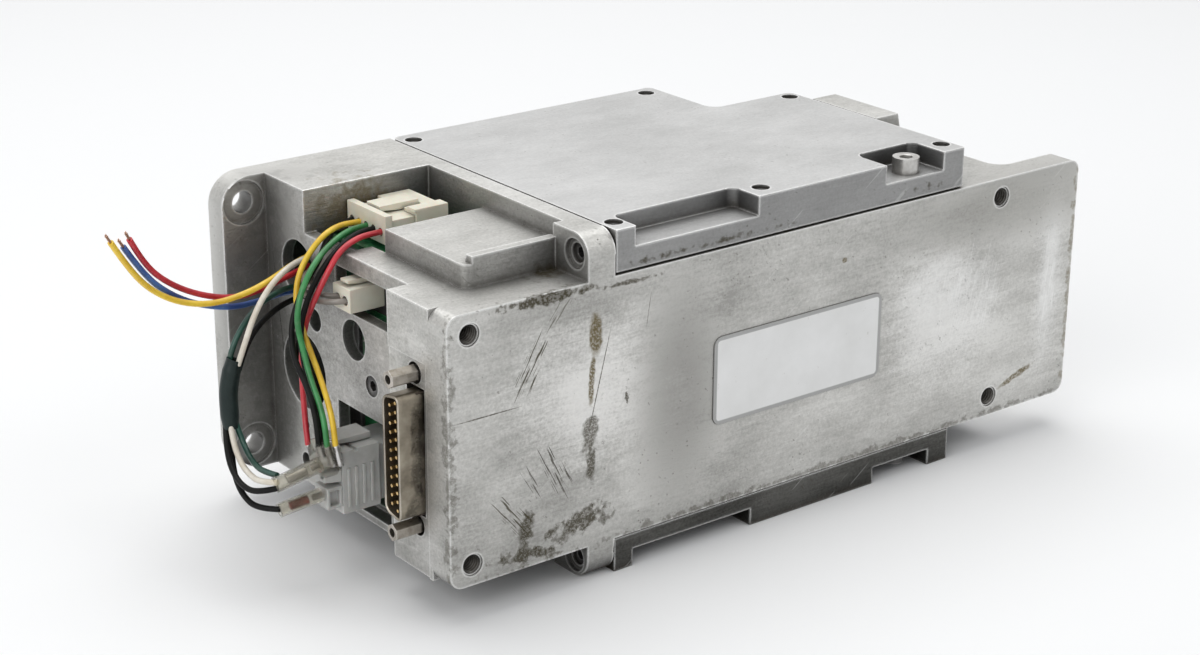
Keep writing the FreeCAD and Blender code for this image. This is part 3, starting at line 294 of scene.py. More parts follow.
PLACED = {"Place": ("Vector", None), "Centre": ("Vector", (0, 0, 0)), "Half Size": ("Vector", (1, 1, 1))}
TURNED = {**PLACED, "Turn": ("Vector", (0, 0, 0))}


def from_centre(tree, given, turn=True):
    """A mark's own place, turned with it, and how far that is out: 1 is its half size."""
    away = vector_maths(tree, "SUBTRACT", given["Place"], given["Centre"])[0]
    if turn:
        away = add_node(tree, "ShaderNodeVectorRotate", {"rotation_type": "EULER_XYZ", "invert": True},
                        Vector=away, Rotation=given["Turn"]).outputs[0]
    scaled = vector_maths(tree, "DIVIDE", away, given["Half Size"])[0]
    return away, vector_maths(tree, "LENGTH", scaled)["Value"]


def make_spot_group():
    """A ragged spot about a centre, with half sizes, 1 inside and 0 outside."""
    tree, given, out = new_group(
        "ragged_spot",
        {**TURNED, "Raggedness": ("Float", 0.7), "Grain": ("Float", 300.0)},
        {"Spot": "Float"})
    _, far = from_centre(tree, given)
    torn = noise(tree, given["Place"], given["Grain"], 5.0, 0.65)
    shift = times(tree, less(tree, torn, 0.5), given["Raggedness"])
    reach = maths(tree, "MULTIPLY_ADD", shift, 4.0, far)
    eaten = noise(tree, given["Place"], times(tree, given["Grain"], 4.0), 3.0, 0.6)
    holes = ramp(tree, eaten, 0.42, 0.52, 0.55, 1.0)
    tree.links.new(times(tree, ramp(tree, reach, 1.05, 0.7), holes), out["Spot"])
    return tree


def make_scuff_group():
    """A patch of fine parallel streaks along the group's own Z, fading out at its rim."""
    tree, given, out = new_group("streaky_scuff", TURNED, {"Scuff": "Float"})
    turned, far = from_centre(tree, given)
    lines = noise(tree, spread(tree, turned, (1700, 100, 90)), 1.0, 2.0, 0.55)
    near = ramp(tree, far, 1.0, 0.35)
    needed = less(tree, 0.66, times(tree, near, 0.13))
    over = less(tree, lines, needed)
    tree.links.new(times(tree, ramp(tree, over, 0.0, 0.05), ramp(tree, far, 1.05, 0.9)),
                   out["Scuff"])
    return tree


def make_light_patch_group():
    """A broad soft patch for painted light and shade, with a cloudy rim, 1 at its centre and 0 outside."""
    tree, given, out = new_group("painted_light_patch", {**PLACED, "Cloud": ("Float", 0.5)}, {"Patch": "Float"})
    _, far = from_centre(tree, given, turn=False)
    torn = less(tree, given["Cloud"], 0.5)
    reach = less(tree, far, times(tree, torn, 0.9))
    soft = add_node(tree, "ShaderNodeMapRange", {"interpolation_type": "SMOOTHSTEP"}, Value=reach,
                    From_Min=1.25, From_Max=0.1)
    tree.links.new(soft.outputs[0], out["Patch"])
    return tree


def make_scratch_group():
    """Fine straight scratches that come and go, along the group's own X."""
    tree, given, out = new_group(
        "fine_scratches",
        {"Place": ("Vector", None), "Turn": ("Vector", (0, 0, 0)), "Fineness": ("Float", 900.0),
         "Length": ("Float", 14.0), "Amount": ("Float", 0.5)},
        {"Scratch": "Float"})
    turned = add_node(tree, "ShaderNodeVectorRotate", {"rotation_type": "EULER_XYZ"},
                      Vector=given["Place"], Rotation=given["Turn"]).outputs[0]
    sizes = add_node(tree, "ShaderNodeCombineXYZ", None, X=given["Length"], Y=given["Fineness"],
                     Z=given["Fineness"]).outputs[0]
    stretched = vector_maths(tree, "MULTIPLY", turned, sizes)[0]
    lines = noise(tree, stretched, 1.0, 2.0, 0.5)
    coming = noise(tree, given["Place"], 45.0, 2.0)
    edge = ramp(tree, given["Amount"], 0.0, 1.0, 0.78, 0.56)
    limit = maths(tree, "ADD", edge, times(tree, less(tree, 0.5, coming), 0.25))
    over = less(tree, lines, limit)
    tree.links.new(ramp(tree, over, 0.0, 0.03), out["Scratch"])
    return tree


def make_cast_group():
    """Cast metal that was tumbled and handled: broad tone, short brushing lines, grain and pits."""
    tree, given, out = new_group(
        "cast_surface",
        {"Place": ("Vector", None), "Dark": ("Color", (0.4, 0.4, 0.39, 1)),
         "Light": ("Color", (0.62, 0.62, 0.61, 1)), "Contrast": ("Float", 1.0),
         "Brushed": ("Float", 0.3)},
        {"Color": "Color", "Cloud": "Float", "Height": "Float"})
    place = given["Place"]
    broad = noise(tree, place, 14.0, 2.0, 0.5)
    middle = noise(tree, spread(tree, place, (40, 60, 95)), 1.0, 4.0, 0.6)
    fine = noise(tree, place, 1100.0, 3.0, 0.65)
    long_lines = noise(tree, spread(tree, place, (45, 120, 700)), 1.0, 3.0, 0.6)
    short_lines = noise(tree, spread(tree, place, (260, 500, 2300)), 1.0, 2.0, 0.6)
    lines = times(tree, maths(tree, "ADD", long_lines, short_lines), 0.5)
    mixed = times(tree, broad, 0.40)
    for part, share in ((middle, 0.34), (fine, 0.26)):
        mixed = maths(tree, "MULTIPLY_ADD", part, share, mixed)
    lined = times(tree, less(tree, lines, 0.5), given["Brushed"])
    cloud = ramp(tree, maths(tree, "ADD", mixed, lined), 0.36, 0.64)
    tone = maths(tree, "MULTIPLY_ADD", less(tree, cloud, 0.5), given["Contrast"], 0.5)
    colour = blend(tree, tone, given["Dark"], given["Light"])
    pits = ramp(tree, cells(tree, place, 420.0), 0.16, 0.05)
    rare = ramp(tree, noise(tree, place, 60.0, 2.0), 0.55, 0.66)
    pitted = times(tree, pits, rare)
    colour = lay(tree, colour, pitted, 0.6, (0.1, 0.09, 0.07))
    grain = maths(tree, "ADD", times(tree, fine, 0.5), lines)
    tree.links.new(colour, out["Color"])
    tree.links.new(cloud, out["Cloud"])
    tree.links.new(less(tree, grain, pitted), out["Height"])
    return tree


EDGES = make_edge_group()
SPOT = make_spot_group()
SCUFF = make_scuff_group()
LIGHT_PATCH = make_light_patch_group()
SCRATCHES = make_scratch_group()
CAST = make_cast_group()


# the colour of grime, also laid in crevices as painted shade
GRIME_AND_SHADE = (0.045, 0.036, 0.024)
OLD_OIL = (0.15, 0.115, 0.045)
DARK_OIL = (0.055, 0.045, 0.022)
# the colour of rubbed metal, also laid on edges as a painted highlight
RUBBED_AND_HIGHLIGHT = (0.86, 0.86, 0.85)
# the colour of soot, also laid inside the tapped holes as painted shade
SOOT_AND_SHADE = (0.02, 0.018, 0.015)


def mark(tree, group, place, centre, half, strength, **more):
    """How strongly a group's mark shows about a centre, with its half size in millimetres."""
    shape = use_group(tree, group, Place=place, Centre=at(*centre), Half_Size=Vector(half) * MM, **more)
    return times(tree, shape[0], strength)


def about_y(turn):
    return (0, math.radians(turn), 0)


def stained(tree, place, colour, spots):
    """Ragged stains laid over a colour: each is centre, half size, turn about Y, raggedness, grain,
    tint and strength."""
    cover = None
    for centre, half, turn, ragged, grain, tint, strength in spots:
        spot = mark(tree, SPOT, place, centre, half, strength, Turn=about_y(turn), Raggedness=ragged,
                    Grain=grain)
        colour = blend(tree, spot, colour, tint)
        cover = spot if cover is None else maths(tree, "MAXIMUM", cover, spot)
    return colour, cover


def scuffed(tree, place, colour, scuffs):
    """Streaky scuffs laid over a colour: each is centre, half size, turn about Y, tint and strength."""
    for centre, half, turn, tint, strength in scuffs:
        scuff = mark(tree, SCUFF, place, centre, half, strength, Turn=about_y(turn))
        colour = blend(tree, scuff, colour, tint)
    return colour


def patched(tree, place, cloud, colour, light_patches):
    """Broad soft painted light and painted shade laid over a colour: each is centre, half size, tint and
    strength.
    """
    for centre, half, tint, strength in light_patches:
        colour = blend(tree, mark(tree, LIGHT_PATCH, place, centre, half, strength, Cloud=cloud), colour, tint)
    return colour


def cast_metal(name, dark, light, contrast, rough=(0.38, 0.52), brushed=0.3, spots=(), scuffs=(),
               light_patches=(), side_shade=0.85, bump=0.00018):
    """Die-cast aluminium: brushed or rough, rubbed and given a painted highlight at its edges, grimy and
    given painted shade in its corners, and given painted shade on its steep faces and in deep places."""
    material, tree, shader = new_material(name, Metallic=0.85)
    place = object_place(tree)
    body = use_group(tree, CAST, Place=place, Dark=(*dark, 1), Light=(*light, 1), Contrast=contrast,
                     Brushed=brushed)
    colour, cloud, height = body["Color"], body["Cloud"], body["Height"]
    # broad painted reflections and painted shade
    colour = patched(tree, place, cloud, colour, light_patches)
    marks = use_group(tree, EDGES, Place=place)
    # painted shade: steep faces darkened by a factor, deeper places by the edge group's shade
    lean = add_node(tree, "ShaderNodeSeparateXYZ", None, Vector=normal_of(tree)).outputs["Z"]
    side_shade_factor = ramp(tree, maths(tree, "ABSOLUTE", lean), 0.5, 0.85, side_shade, 1.0)
    colour = blend(tree, 1.0, colour, times(tree, side_shade_factor, marks["Shade"]), "MULTIPLY")
    # dirt and painted shade in the crevices
    colour = lay(tree, colour, marks["Crevice"], 0.9, GRIME_AND_SHADE)
    # rubbed metal and a painted highlight on the edges
    colour = lay(tree, colour, marks["Edge"], 0.9, RUBBED_AND_HIGHLIGHT)
    for turn, strength, tint in (((0.3, 0.6, 0.2), 0.16, RUBBED_AND_HIGHLIGHT), ((0.1, -0.9, 0.4), 0.35, GRIME_AND_SHADE)):
        scratch = use_group(tree, SCRATCHES, Place=place, Turn=turn, Amount=0.3)[0]
        colour = lay(tree, colour, scratch, strength, tint)
    colour = scuffed(tree, place, colour, scuffs)
    roughness = ramp(tree, cloud, 0.0, 1.0, rough[1], rough[0])
    roughness = maths(tree, "ADD", roughness, times(tree, marks["Crevice"], 0.3), clamp=True)
    if spots:
        colour, cover = stained(tree, place, colour, spots)
        roughness = maths(tree, "ADD", roughness, times(tree, cover, 0.25), clamp=True)
    finish_shader(tree, shader, colour, roughness, height, bump)
    return material


TAP_COLUMNS, TAP_ROWS = (7.5, 217.5), (6.5, 76.5)
# centre, half size, turn, raggedness, grain, tint and strength: see stained
CASTING_STAINS = [
    # the long brown drip of the plate
    ((51.3, 0, 66.5), (2.6, 3, 7.5), 0, 0.34, 340.0, OLD_OIL, 0.9),
    ((50.0, 0, 53.0), (1.2, 3, 9.0), 4, 0.40, 420.0, OLD_OIL, 0.9),
    ((49.4, 0, 36.0), (2.8, 3, 7.5), 8, 0.50, 420.0, DARK_OIL, 0.75),
    ((49.7, 0, 26.5), (1.8, 3, 6.0), 0, 0.50, 420.0, DARK_OIL, 0.8),
    # grime along its edges and in its low corner
    ((45.8, 0, 8.8), (12.0, 3, 3.4), -12, 1.0, 300.0, DARK_OIL, 0.85),
    ((26.5, 0, 12.5), (2.6, 3, 6.0), 12, 0.60, 460.0, DARK_OIL, 0.85),
    ((27.0, 0, 4.0), (12.0, 3, 2.2), 8, 1.0, 320.0, DARK_OIL, 0.85),
    ((35.0, 0, 81.6), (17.0, 3, 1.7), 0, 1.1, 330.0, DARK_OIL, 0.9),
    ((64.0, 0, 80.2), (10.0, 3, 0.8), 0, 0.85, 460.0, DARK_OIL, 0.8),
    ((229.5, 0, 11.0), (9.0, 3, 1.3), -18, 0.5, 300.0, OLD_OIL, 0.85),
    ((148.5, 0, 69.2), (1.2, 3, 0.9), 0, 0.5, 460.0, OLD_OIL, 0.8),
    ((63.0, 0, 44.5), (0.7, 3, 2.2), 0, 0.9, 900.0, DARK_OIL, 0.9),
    # nicks and grime worked into its edges
    ((0.8, 1.0, 44.0), (1.5, 1.8, 40.0), 0, 1.6, 330.0, DARK_OIL, 0.5),
    ((150.0, 0.5, 0.6), (110.0, 2.0, 1.3), 0, 1.6, 330.0, DARK_OIL, 0.5),
    ((253.5, 0.5, 45.0), (1.3, 2.0, 40.0), 0, 1.6, 330.0, OLD_OIL, 0.5),
    # mottled end wall and flange
    ((6.0, 60.0, 45.0), (12.0, 34.0, 38.0), 0, 1.4, 130.0, (0.16, 0.155, 0.14), 0.25),
    ((2.0, 102.0, 45.0), (14.0, 11.0, 60.0), 0, 1.0, 110.0, (0.08, 0.078, 0.07), 0.35),
    # cloudy white rubs at its right
    ((189.0, 0, 51.0), (15.0, 3, 12.0), -20, 0.35, 55.0, RUBBED_AND_HIGHLIGHT, 0.38),
    ((208.0, 0, 45.0), (12.0, 3, 15.0), 10, 0.40, 60.0, RUBBED_AND_HIGHLIGHT, 0.25),
    ((243.0, 0, 44.0), (3.4, 3, 20.0), 4, 0.45, 90.0, RUBBED_AND_HIGHLIGHT, 0.4),
    # the tapped holes, black inside as painted shade
    *(((x, 7.6, z), (6.0, 7.5, 6.0), 0, 0.0, 300.0, SOOT_AND_SHADE, 0.95) for x in TAP_COLUMNS for z in TAP_ROWS),
    # thin scratches
    ((52.6, 0, 51.0), (0.22, 3, 18.5), 14.5, 0.12, 500.0, DARK_OIL, 0.85),
    ((12.5, 0, 51.0), (12.5, 3, 0.25), 0, 0.16, 160.0, DARK_OIL, 0.8),
    ((70.8, 0, 70.0), (0.14, 3, 6.2), 9, 0.2, 500.0, DARK_OIL, 0.7),
    # oil in the corners by the lug, behind the leads and round the connector
    ((44.0, 14.0, 79.0), (9.0, 9.0, 6.0), 0, 0.5, 240.0, DARK_OIL, 0.85),
    ((24.0, 30.0, 72.0), (6.0, 12.0, 7.0), 0, 0.6, 300.0, OLD_OIL, 0.4),
    ((24.0, 88.0, 85.0), (14.0, 14.0, 12.0), 0, 0.7, 260.0, OLD_OIL, 0.6),
]
# centre, half size, turn, tint and strength: see scuffed
PLATE_SCUFFS = [
    ((28.5, 0, 62.5), (4.6, 3, 14.0), 30, DARK_OIL, 0.9),
    ((36.5, 0, 28.0), (5.0, 3, 13.0), -27, GRIME_AND_SHADE, 0.8),
    ((21.5, 0, 17.5), (4.6, 3, 11.0), -40, DARK_OIL, 0.85),
    ((28.5, 0, 26.5), (2.6, 3, 7.0), -30, GRIME_AND_SHADE, 0.7),
    ((38.0, 0, 76.0), (3.0, 3, 7.0), 38, DARK_OIL, 0.6),
    ((205.0, 0, 44.0), (26.0, 3, 22.0), 12, RUBBED_AND_HIGHLIGHT, 0.25),
    ((243.0, 0, 40.0), (6.0, 3, 26.0), 6, RUBBED_AND_HIGHLIGHT, 0.4),
]
# painted reflections, painted light and painted shade on the plate, end wall and flange: centre, half size,
# tint and strength: see patched
PAINTED_LIGHT_PATCHES = [
    # a painted reflection on the plate's left half and painted shade beside it
    ((46.0, 0, 50.0), (24.0, 6, 27.0), (0.90, 0.89, 0.87), 0.62),
    ((84.0, 0, 42.0), (16.0, 6, 36.0), (0.25, 0.245, 0.23), 0.6),
    # painted reflections at the plate's right, painted shade along its top right
    ((190.0, 0, 42.0), (24.0, 6, 22.0), (0.90, 0.895, 0.88), 0.5),
    ((243.0, 0, 42.0), (7.0, 6, 30.0), (0.86, 0.86, 0.85), 0.4),
    ((215.0, 0, 74.0), (50.0, 6, 12.0), (0.33, 0.325, 0.30), 0.5),
    # painted shade on the flange, painted light on the end wall
    ((4.0, 104.0, 45.0), (30.0, 12.0, 60.0), (0.16, 0.157, 0.145), 0.65),
    ((2.0, 55.0, 45.0), (9.0, 42.0, 48.0), (0.90, 0.885, 0.86), 0.65),
    ((1.0, 12.0, 25.0), (5.0, 14.0, 30.0), (0.88, 0.87, 0.85), 0.35),
    # painted shade across the top at the right end
    ((236.0, 4.0, 88.0), (34.0, 20.0, 9.0), (0.30, 0.297, 0.28), 0.4),
]
LID_STAINS = [
    ((94.0, 7.0, 85.5), (36.0, 8.0, 1.2), 0, 0.8, 420.0, DARK_OIL, 0.8),
    ((182.0, 8.0, 86.0), (10.0, 8.0, 1.5), 0, 0.8, 420.0, DARK_OIL, 0.7),
    ((125.7, 56.5, 95.0), (2.2, 1.6, 1.0), 0, 0.5, 500.0, (0.35, 0.34, 0.32), 0.6),
]

# each of these three darkens its steep faces by a factor, as painted shade
casting_metal = cast_metal("tumbled_casting", (0.36, 0.356, 0.338), (0.68, 0.674, 0.65), 1.05,
                           brushed=0.24, spots=CASTING_STAINS, scuffs=PLATE_SCUFFS,
                           light_patches=PAINTED_LIGHT_PATCHES, side_shade=0.95)
lid_metal = cast_metal("smooth_lid", (0.43, 0.43, 0.425), (0.63, 0.63, 0.625), 1.0, (0.36, 0.46),
                       brushed=0.25, spots=LID_STAINS, side_shade=0.55, bump=0.00014)
# a cover darker all over than the casting
under_metal = cast_metal("dark_bottom_cover", (0.09, 0.088, 0.08), (0.25, 0.246, 0.23), 1.3,
                         side_shade=0.6, bump=0.00025)


def two_tone(tree, tone, low, high):
    return blend(tree, ramp(tree, tone, 0.35, 0.65), low, high)


def plain_metal(name, dark, light, rough, edge_wear_and_highlight=0.5, crevice_grime_and_shade=0.8, scale=220.0, spots=()):
    """A small machined or plated part, toned by handling, with rubbed edges given a painted highlight, and
    dirt and painted shade in its corners.
    """
    material, tree, shader = new_material(name, Metallic=0.95)
    place = object_place(tree)
    marks = use_group(tree, EDGES, Place=place, Width=0.0004, Depth=0.002)
    tone = noise(tree, place, scale, 4.0, 0.6)
    # dirt and painted shade in the crevices
    colour = lay(tree, two_tone(tree, tone, dark, light), marks["Crevice"], crevice_grime_and_shade, GRIME_AND_SHADE)
    if spots:
        colour, _ = stained(tree, place, colour, spots)
    # rubbed metal and a painted highlight on the edges
    colour = lay(tree, colour, marks["Edge"], edge_wear_and_highlight, (0.8, 0.79, 0.77))
    finish_shader(tree, shader, colour, ramp(tree, tone, 0.3, 0.7, rough + 0.1, rough - 0.06),
                  noise(tree, place, scale * 5, 3.0), 0.00006)
    return material


def plastic(name, low, high, rough, bump=0.00003, **sockets):
    """Moulded plastic, slightly uneven, with dust and painted shade in its corners."""
    material, tree, shader = new_material(name, **sockets)
    place = object_place(tree)
    marks = use_group(tree, EDGES, Place=place, Width=0.0003, Depth=0.002)
    tone = noise(tree, place, 90.0, 4.0, 0.6)
    # dust and painted shade in the corners
    colour = lay(tree, two_tone(tree, tone, low, high), marks["Crevice"], 0.5, GRIME_AND_SHADE)
    finish_shader(tree, shader, colour, ramp(tree, tone, 0.3, 0.7, rough - 0.07, rough + 0.09),
                  noise(tree, place, 1800.0, 2.0), bump)
    return material


screw_steel = plain_metal("plated_screws", (0.26, 0.25, 0.23), (0.46, 0.45, 0.43), 0.38)
dark_screw = plain_metal("dark_screw", (0.07, 0.07, 0.07), (0.16, 0.155, 0.15), 0.42, 0.4)
bright_head = plain_metal("worn_cap_head", (0.42, 0.41, 0.39), (0.62, 0.61, 0.59), 0.34, 0.5)
SHELL_SMUDGES = [
    ((-1.8, 11.5, 40.0), (2.6, 5, 17.0), 0, 0.7, 150.0, SOOT_AND_SHADE, 0.7),
    ((-3.0, 11.5, 24.0), (2.6, 5, 7.0), 20, 0.7, 150.0, SOOT_AND_SHADE, 0.6),
]
shell_steel = plain_metal("tarnished_shell", (0.14, 0.118, 0.088), (0.47, 0.42, 0.34), 0.34, 0.9, 0.9, 75.0,
                          spots=SHELL_SMUDGES)
jack_steel = plain_metal("jack_screw_nickel", (0.30, 0.27, 0.23), (0.55, 0.51, 0.46), 0.33, 0.6)
gold_pins = plain_metal("gold_flash", (0.48, 0.31, 0.10), (0.80, 0.56, 0.24), 0.3, 0.25)
tinned = plain_metal("tinned_copper", (0.45, 0.44, 0.43), (0.68, 0.67, 0.66), 0.3, 0.3)
copper = plain_metal("bare_copper_strands", (0.42, 0.20, 0.11), (0.70, 0.38, 0.24), 0.34, 0.3)
# near-black threads: painted shade inside the tapped holes
shaded_thread = plain_metal("shade_darkened_threads", (0.03, 0.028, 0.025), (0.08, 0.076, 0.07), 0.5, 0.2)
red_crimp = plain_metal("red_crimp", (0.30, 0.035, 0.025), (0.42, 0.08, 0.06), 0.4, 0.1)
gasket_rubber = plastic("gasket_cord", (0.022, 0.022, 0.022), (0.05, 0.05, 0.048), 0.7)
cream_nylon = plastic("cream_nylon", (0.70, 0.655, 0.53), (0.80, 0.765, 0.65), 0.42,
                      Subsurface_Weight=0.15, Subsurface_Scale=0.002)
grey_nylon = plastic("grey_nylon", (0.40, 0.40, 0.385), (0.55, 0.55, 0.53), 0.45,
                     Subsurface_Weight=0.08, Subsurface_Scale=0.001)
black_package = plastic("black_package", (0.02, 0.02, 0.02), (0.045, 0.045, 0.045), 0.5)
brown_block = plastic("dark_insulator", (0.03, 0.022, 0.016), (0.075, 0.055, 0.04), 0.55)
dark_shrink = plastic("dark_shrink_sleeve", (0.005, 0.013, 0.012), (0.014, 0.026, 0.024), 0.4, 0.00008,
                      Specular_IOR_Level=0.3)
grey_pad = plastic("soft_heat_pad", (0.36, 0.36, 0.38), (0.48, 0.48, 0.5), 0.75)
can_sleeve = plastic("can_sleeve", (0.012, 0.018, 0.05), (0.03, 0.04, 0.1), 0.3, Coat_Weight=0.3)
winding = plastic("enamelled_winding", (0.20, 0.06, 0.02), (0.36, 0.13, 0.05), 0.3, 0.0001,
                  Coat_Weight=0.4)


def make_board_material():
    """Green solder mask with copper tracks under it and tinned pads."""
    material, tree, shader = new_material("green_board", Coat_Weight=0.35, Coat_Roughness=0.2)
    place = object_place(tree)
    tracks = cells(tree, spread(tree, place, (1, 1, 0.3)), 260.0, {"distance": "CHEBYCHEV"})
    lines = ramp(tree, tracks, 0.36, 0.40)
    pads = ramp(tree, cells(tree, place, 330.0), 0.12, 0.10)
    colour = blend(tree, lines, (0.012, 0.10, 0.035), (0.03, 0.19, 0.07))
    colour = blend(tree, pads, colour, (0.42, 0.41, 0.38))
    finish_shader(tree, shader, colour, ramp(tree, lines, 0.0, 1.0, 0.4, 0.3),
                  maths(tree, "ADD", lines, pads), 0.00004)
    return material


def make_label_material():
    """A blank white face with a printed silver border, rubbed and slightly dirty."""
    material, tree, shader = new_material("blank_label", Coat_Weight=0.25, Coat_Roughness=0.25)
    place = object_place(tree)
    low, high = (Vector(corner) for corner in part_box("label_plate"))
    middle, half = (low + high) / 2, (high - low) / 2
    size = vector_maths(tree, "ABSOLUTE", vector_maths(tree, "SUBTRACT", place, middle)[0])[0]
    split = add_node(tree, "ShaderNodeSeparateXYZ", None, Vector=size).outputs
    # a rounded box outline, set in from the edge by the border
    corner, border_start, border_full = 0.0024, 0.0014, 0.0011
    gap_x = maths(tree, "MAXIMUM", less(tree, split[0], half.x - corner), 0.0)
    gap_z = maths(tree, "MAXIMUM", less(tree, split[2], half.z - corner), 0.0)
    out = maths(tree, "SQRT", maths(tree, "ADD", times(tree, gap_x, gap_x), times(tree, gap_z, gap_z)))
    border = ramp(tree, out, corner - border_start, corner - border_full)
    worn = noise(tree, place, 60.0, 4.0, 0.6)
    paper = blend(tree, ramp(tree, worn, 0.3, 0.7), (0.74, 0.74, 0.73), (0.82, 0.82, 0.815))
    specks = ramp(tree, noise(tree, place, 420.0, 4.0, 0.7), 0.66, 0.72)
    paper = lay(tree, paper, specks, 0.35, (0.4, 0.38, 0.34))
    tree.links.new(times(tree, border, 0.8), shader.inputs["Metallic"])
    finish_shader(tree, shader, blend(tree, border, paper, (0.36, 0.36, 0.355)),
                  ramp(tree, worn, 0.3, 0.7, 0.34, 0.5), noise(tree, place, 900.0, 2.0), 0.00002)
    return material


board_green = make_board_material()
label_face = make_label_material()


def insulation(name, low, high, rough=0.34, dust=0.2, coat=0.2, shine=0.5):
    """PVC wire insulation with faint handling marks and dust."""
    material, tree, shader = new_material(name, Coat_Weight=coat, Coat_Roughness=0.3,
                                          Specular_IOR_Level=shine)
    place = object_place(tree)
    tone = noise(tree, place, 150.0, 3.0)
    dusty = ramp(tree, noise(tree, place, 520.0, 4.0, 0.65), 0.58, 0.78)
    colour = lay(tree, two_tone(tree, tone, low, high), dusty, dust, (0.35, 0.32, 0.27))
    finish_shader(tree, shader, colour, ramp(tree, dusty, 0.0, 1.0, rough, rough + 0.25),
                  noise(tree, place, 700.0, 2.0), 0.00004)
    return material


WIRES = {
    "yellow_wire": insulation("yellow_insulation", (0.72, 0.44, 0.02), (0.87, 0.60, 0.05)),
    "green_wire": insulation("green_insulation", (0.017, 0.16, 0.038), (0.04, 0.27, 0.075)),
    "black_wire": insulation("black_insulation", (0.004, 0.004, 0.004), (0.009, 0.009, 0.008), 0.45, 0.04,
                             0.0, 0.15),
    "red_wire": insulation("red_insulation", (0.42, 0.012, 0.025), (0.60, 0.035, 0.05)),
    "blue_wire": insulation("blue_insulation", (0.025, 0.07, 0.26), (0.06, 0.15, 0.42)),
    "white_wire": insulation("white_insulation", (0.66, 0.60, 0.50), (0.78, 0.74, 0.66)),
    "grey_wire": insulation("grey_insulation", (0.17, 0.15, 0.13), (0.30, 0.27, 0.24)),
    "dark_green_wire": insulation("dark_green_insulation", (0.005, 0.040, 0.028), (0.012, 0.08, 0.056)),
}


def make_clear_plastic():
    """Clear, slightly yellowed sleeving."""
    material, tree, shader = new_material("clear_sleeving", 0.1, Transmission_Weight=0.95, IOR=1.22,
                                          Alpha=0.5, Coat_Weight=0.5, Coat_Roughness=0.05)
    place = object_place(tree)
    cloudy = noise(tree, place, 260.0, 4.0, 0.6)
    colour = blend(tree, ramp(tree, cloudy, 0.35, 0.7), (0.80, 0.77, 0.66), (0.58, 0.54, 0.41))
    finish_shader(tree, shader, colour, ramp(tree, cloudy, 0.3, 0.7, 0.05, 0.2),
                  noise(tree, place, 400.0, 2.0), 0.0002)
    return material


clear_sleeving = make_clear_plastic()


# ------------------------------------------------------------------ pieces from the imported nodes
def select_all_of(pieces):
    """Selects these pieces and no others, with the first active."""
    bpy.ops.object.select_all(action="DESELECT")
    for piece in pieces:
        piece.select_set(True)
    bpy.context.view_layer.objects.active = pieces[0]


def choose(piece):
    select_all_of([piece])


def finish_piece(piece, name, body, material, nodes=()):
    """Names a piece, paints it, rides it on its body and hides the nodes it stands for."""
    piece.name = name
    piece.data.name = name
    if material:
        piece.data.materials.clear()
        piece.data.materials.append(material)
    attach(piece, body)
    if nodes:
        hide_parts(*nodes)
    piece.select_set(False)
    return piece


def apply_all(piece):
    choose(piece)
    for modifier in list(piece.modifiers):
        bpy.ops.object.modifier_apply(modifier=modifier.name)


# an edge is sharp past SHARP and shaded so past CREASE; faces as flat as FLAT become one
SHARP, CREASE, FLAT = math.radians(35), math.radians(33), math.radians(0.5)
WELD = 0.000005


def mark_edges(piece, long_enough, wide_enough, clear):
    """Gives the sharp edges that have room for rounding a bevel weight; sizes in millimetres."""
    shape = bmesh.new()
    shape.from_mesh(piece.data)
    weight = shape.edges.layers.float.new("bevel_weight_edge")
    for edge in shape.edges:
        if len(edge.link_faces) != 2 or edge.calc_face_angle(0) < SHARP:
            continue
        length = edge.calc_length()
        width = min(face.calc_area() for face in edge.link_faces) / length
        shortest = min(other.calc_length() for end in edge.verts for other in end.link_edges)
        if length > long_enough * MM and width > wide_enough * MM and shortest > clear * MM:
            edge[weight] = 1.0
    shape.to_mesh(piece.data)
    shape.free()


def weld(piece):
    """Merges a piece's doubled vertices and stays in edit mode."""
    choose(piece)
    bpy.ops.object.mode_set(mode="EDIT")
    bpy.ops.mesh.select_all(action="SELECT")
    bpy.ops.mesh.remove_doubles(threshold=WELD)


def even_shading(piece, keep_sharp):
    even = piece.modifiers.new("even", "WEIGHTED_NORMAL")
    even.keep_sharp = keep_sharp
    even.weight = 100


# how long and how wide an edge is, and how long its neighbours are, before it is rounded
USUAL_ROOM = (0.45, 0.5, 0.35)
ROOM = {"main_casting": (1.0, 1.4, 0.6), "label_plate": (0.05, 0.1, 0.05)}


def softened(node, width, material, slot):
    """A copy of a node with its edges rounded, standing for it."""
    piece = bpy.data.objects.new(node + "_finished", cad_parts[node].data.copy())
    bpy.context.scene.collection.objects.link(piece)
    weld(piece)
    bpy.ops.mesh.tris_convert_to_quads(face_threshold=FLAT,
                                       shape_threshold=math.pi)
    bpy.ops.mesh.customdata_custom_splitnormals_clear()
    bpy.ops.object.mode_set(mode="OBJECT")
    mark_edges(piece, *ROOM.get(node, USUAL_ROOM))
    rounding = piece.modifiers.new("rounding", "BEVEL")
    rounding.width = width * MM
    rounding.segments = 2
    rounding.limit_method = "WEIGHT"
    rounding.use_clamp_overlap = False
    apply_all(piece)
    bpy.ops.object.shade_smooth_by_angle(angle=CREASE)
    even_shading(piece, True)
    apply_all(piece)
    body = node + "_rocker" if node.endswith("_latch") else "housing"
    return finish_piece(piece, node + "_finished", body, material, [node])


# ------------------------------------------------------------------ leads
LEAD = 1.8
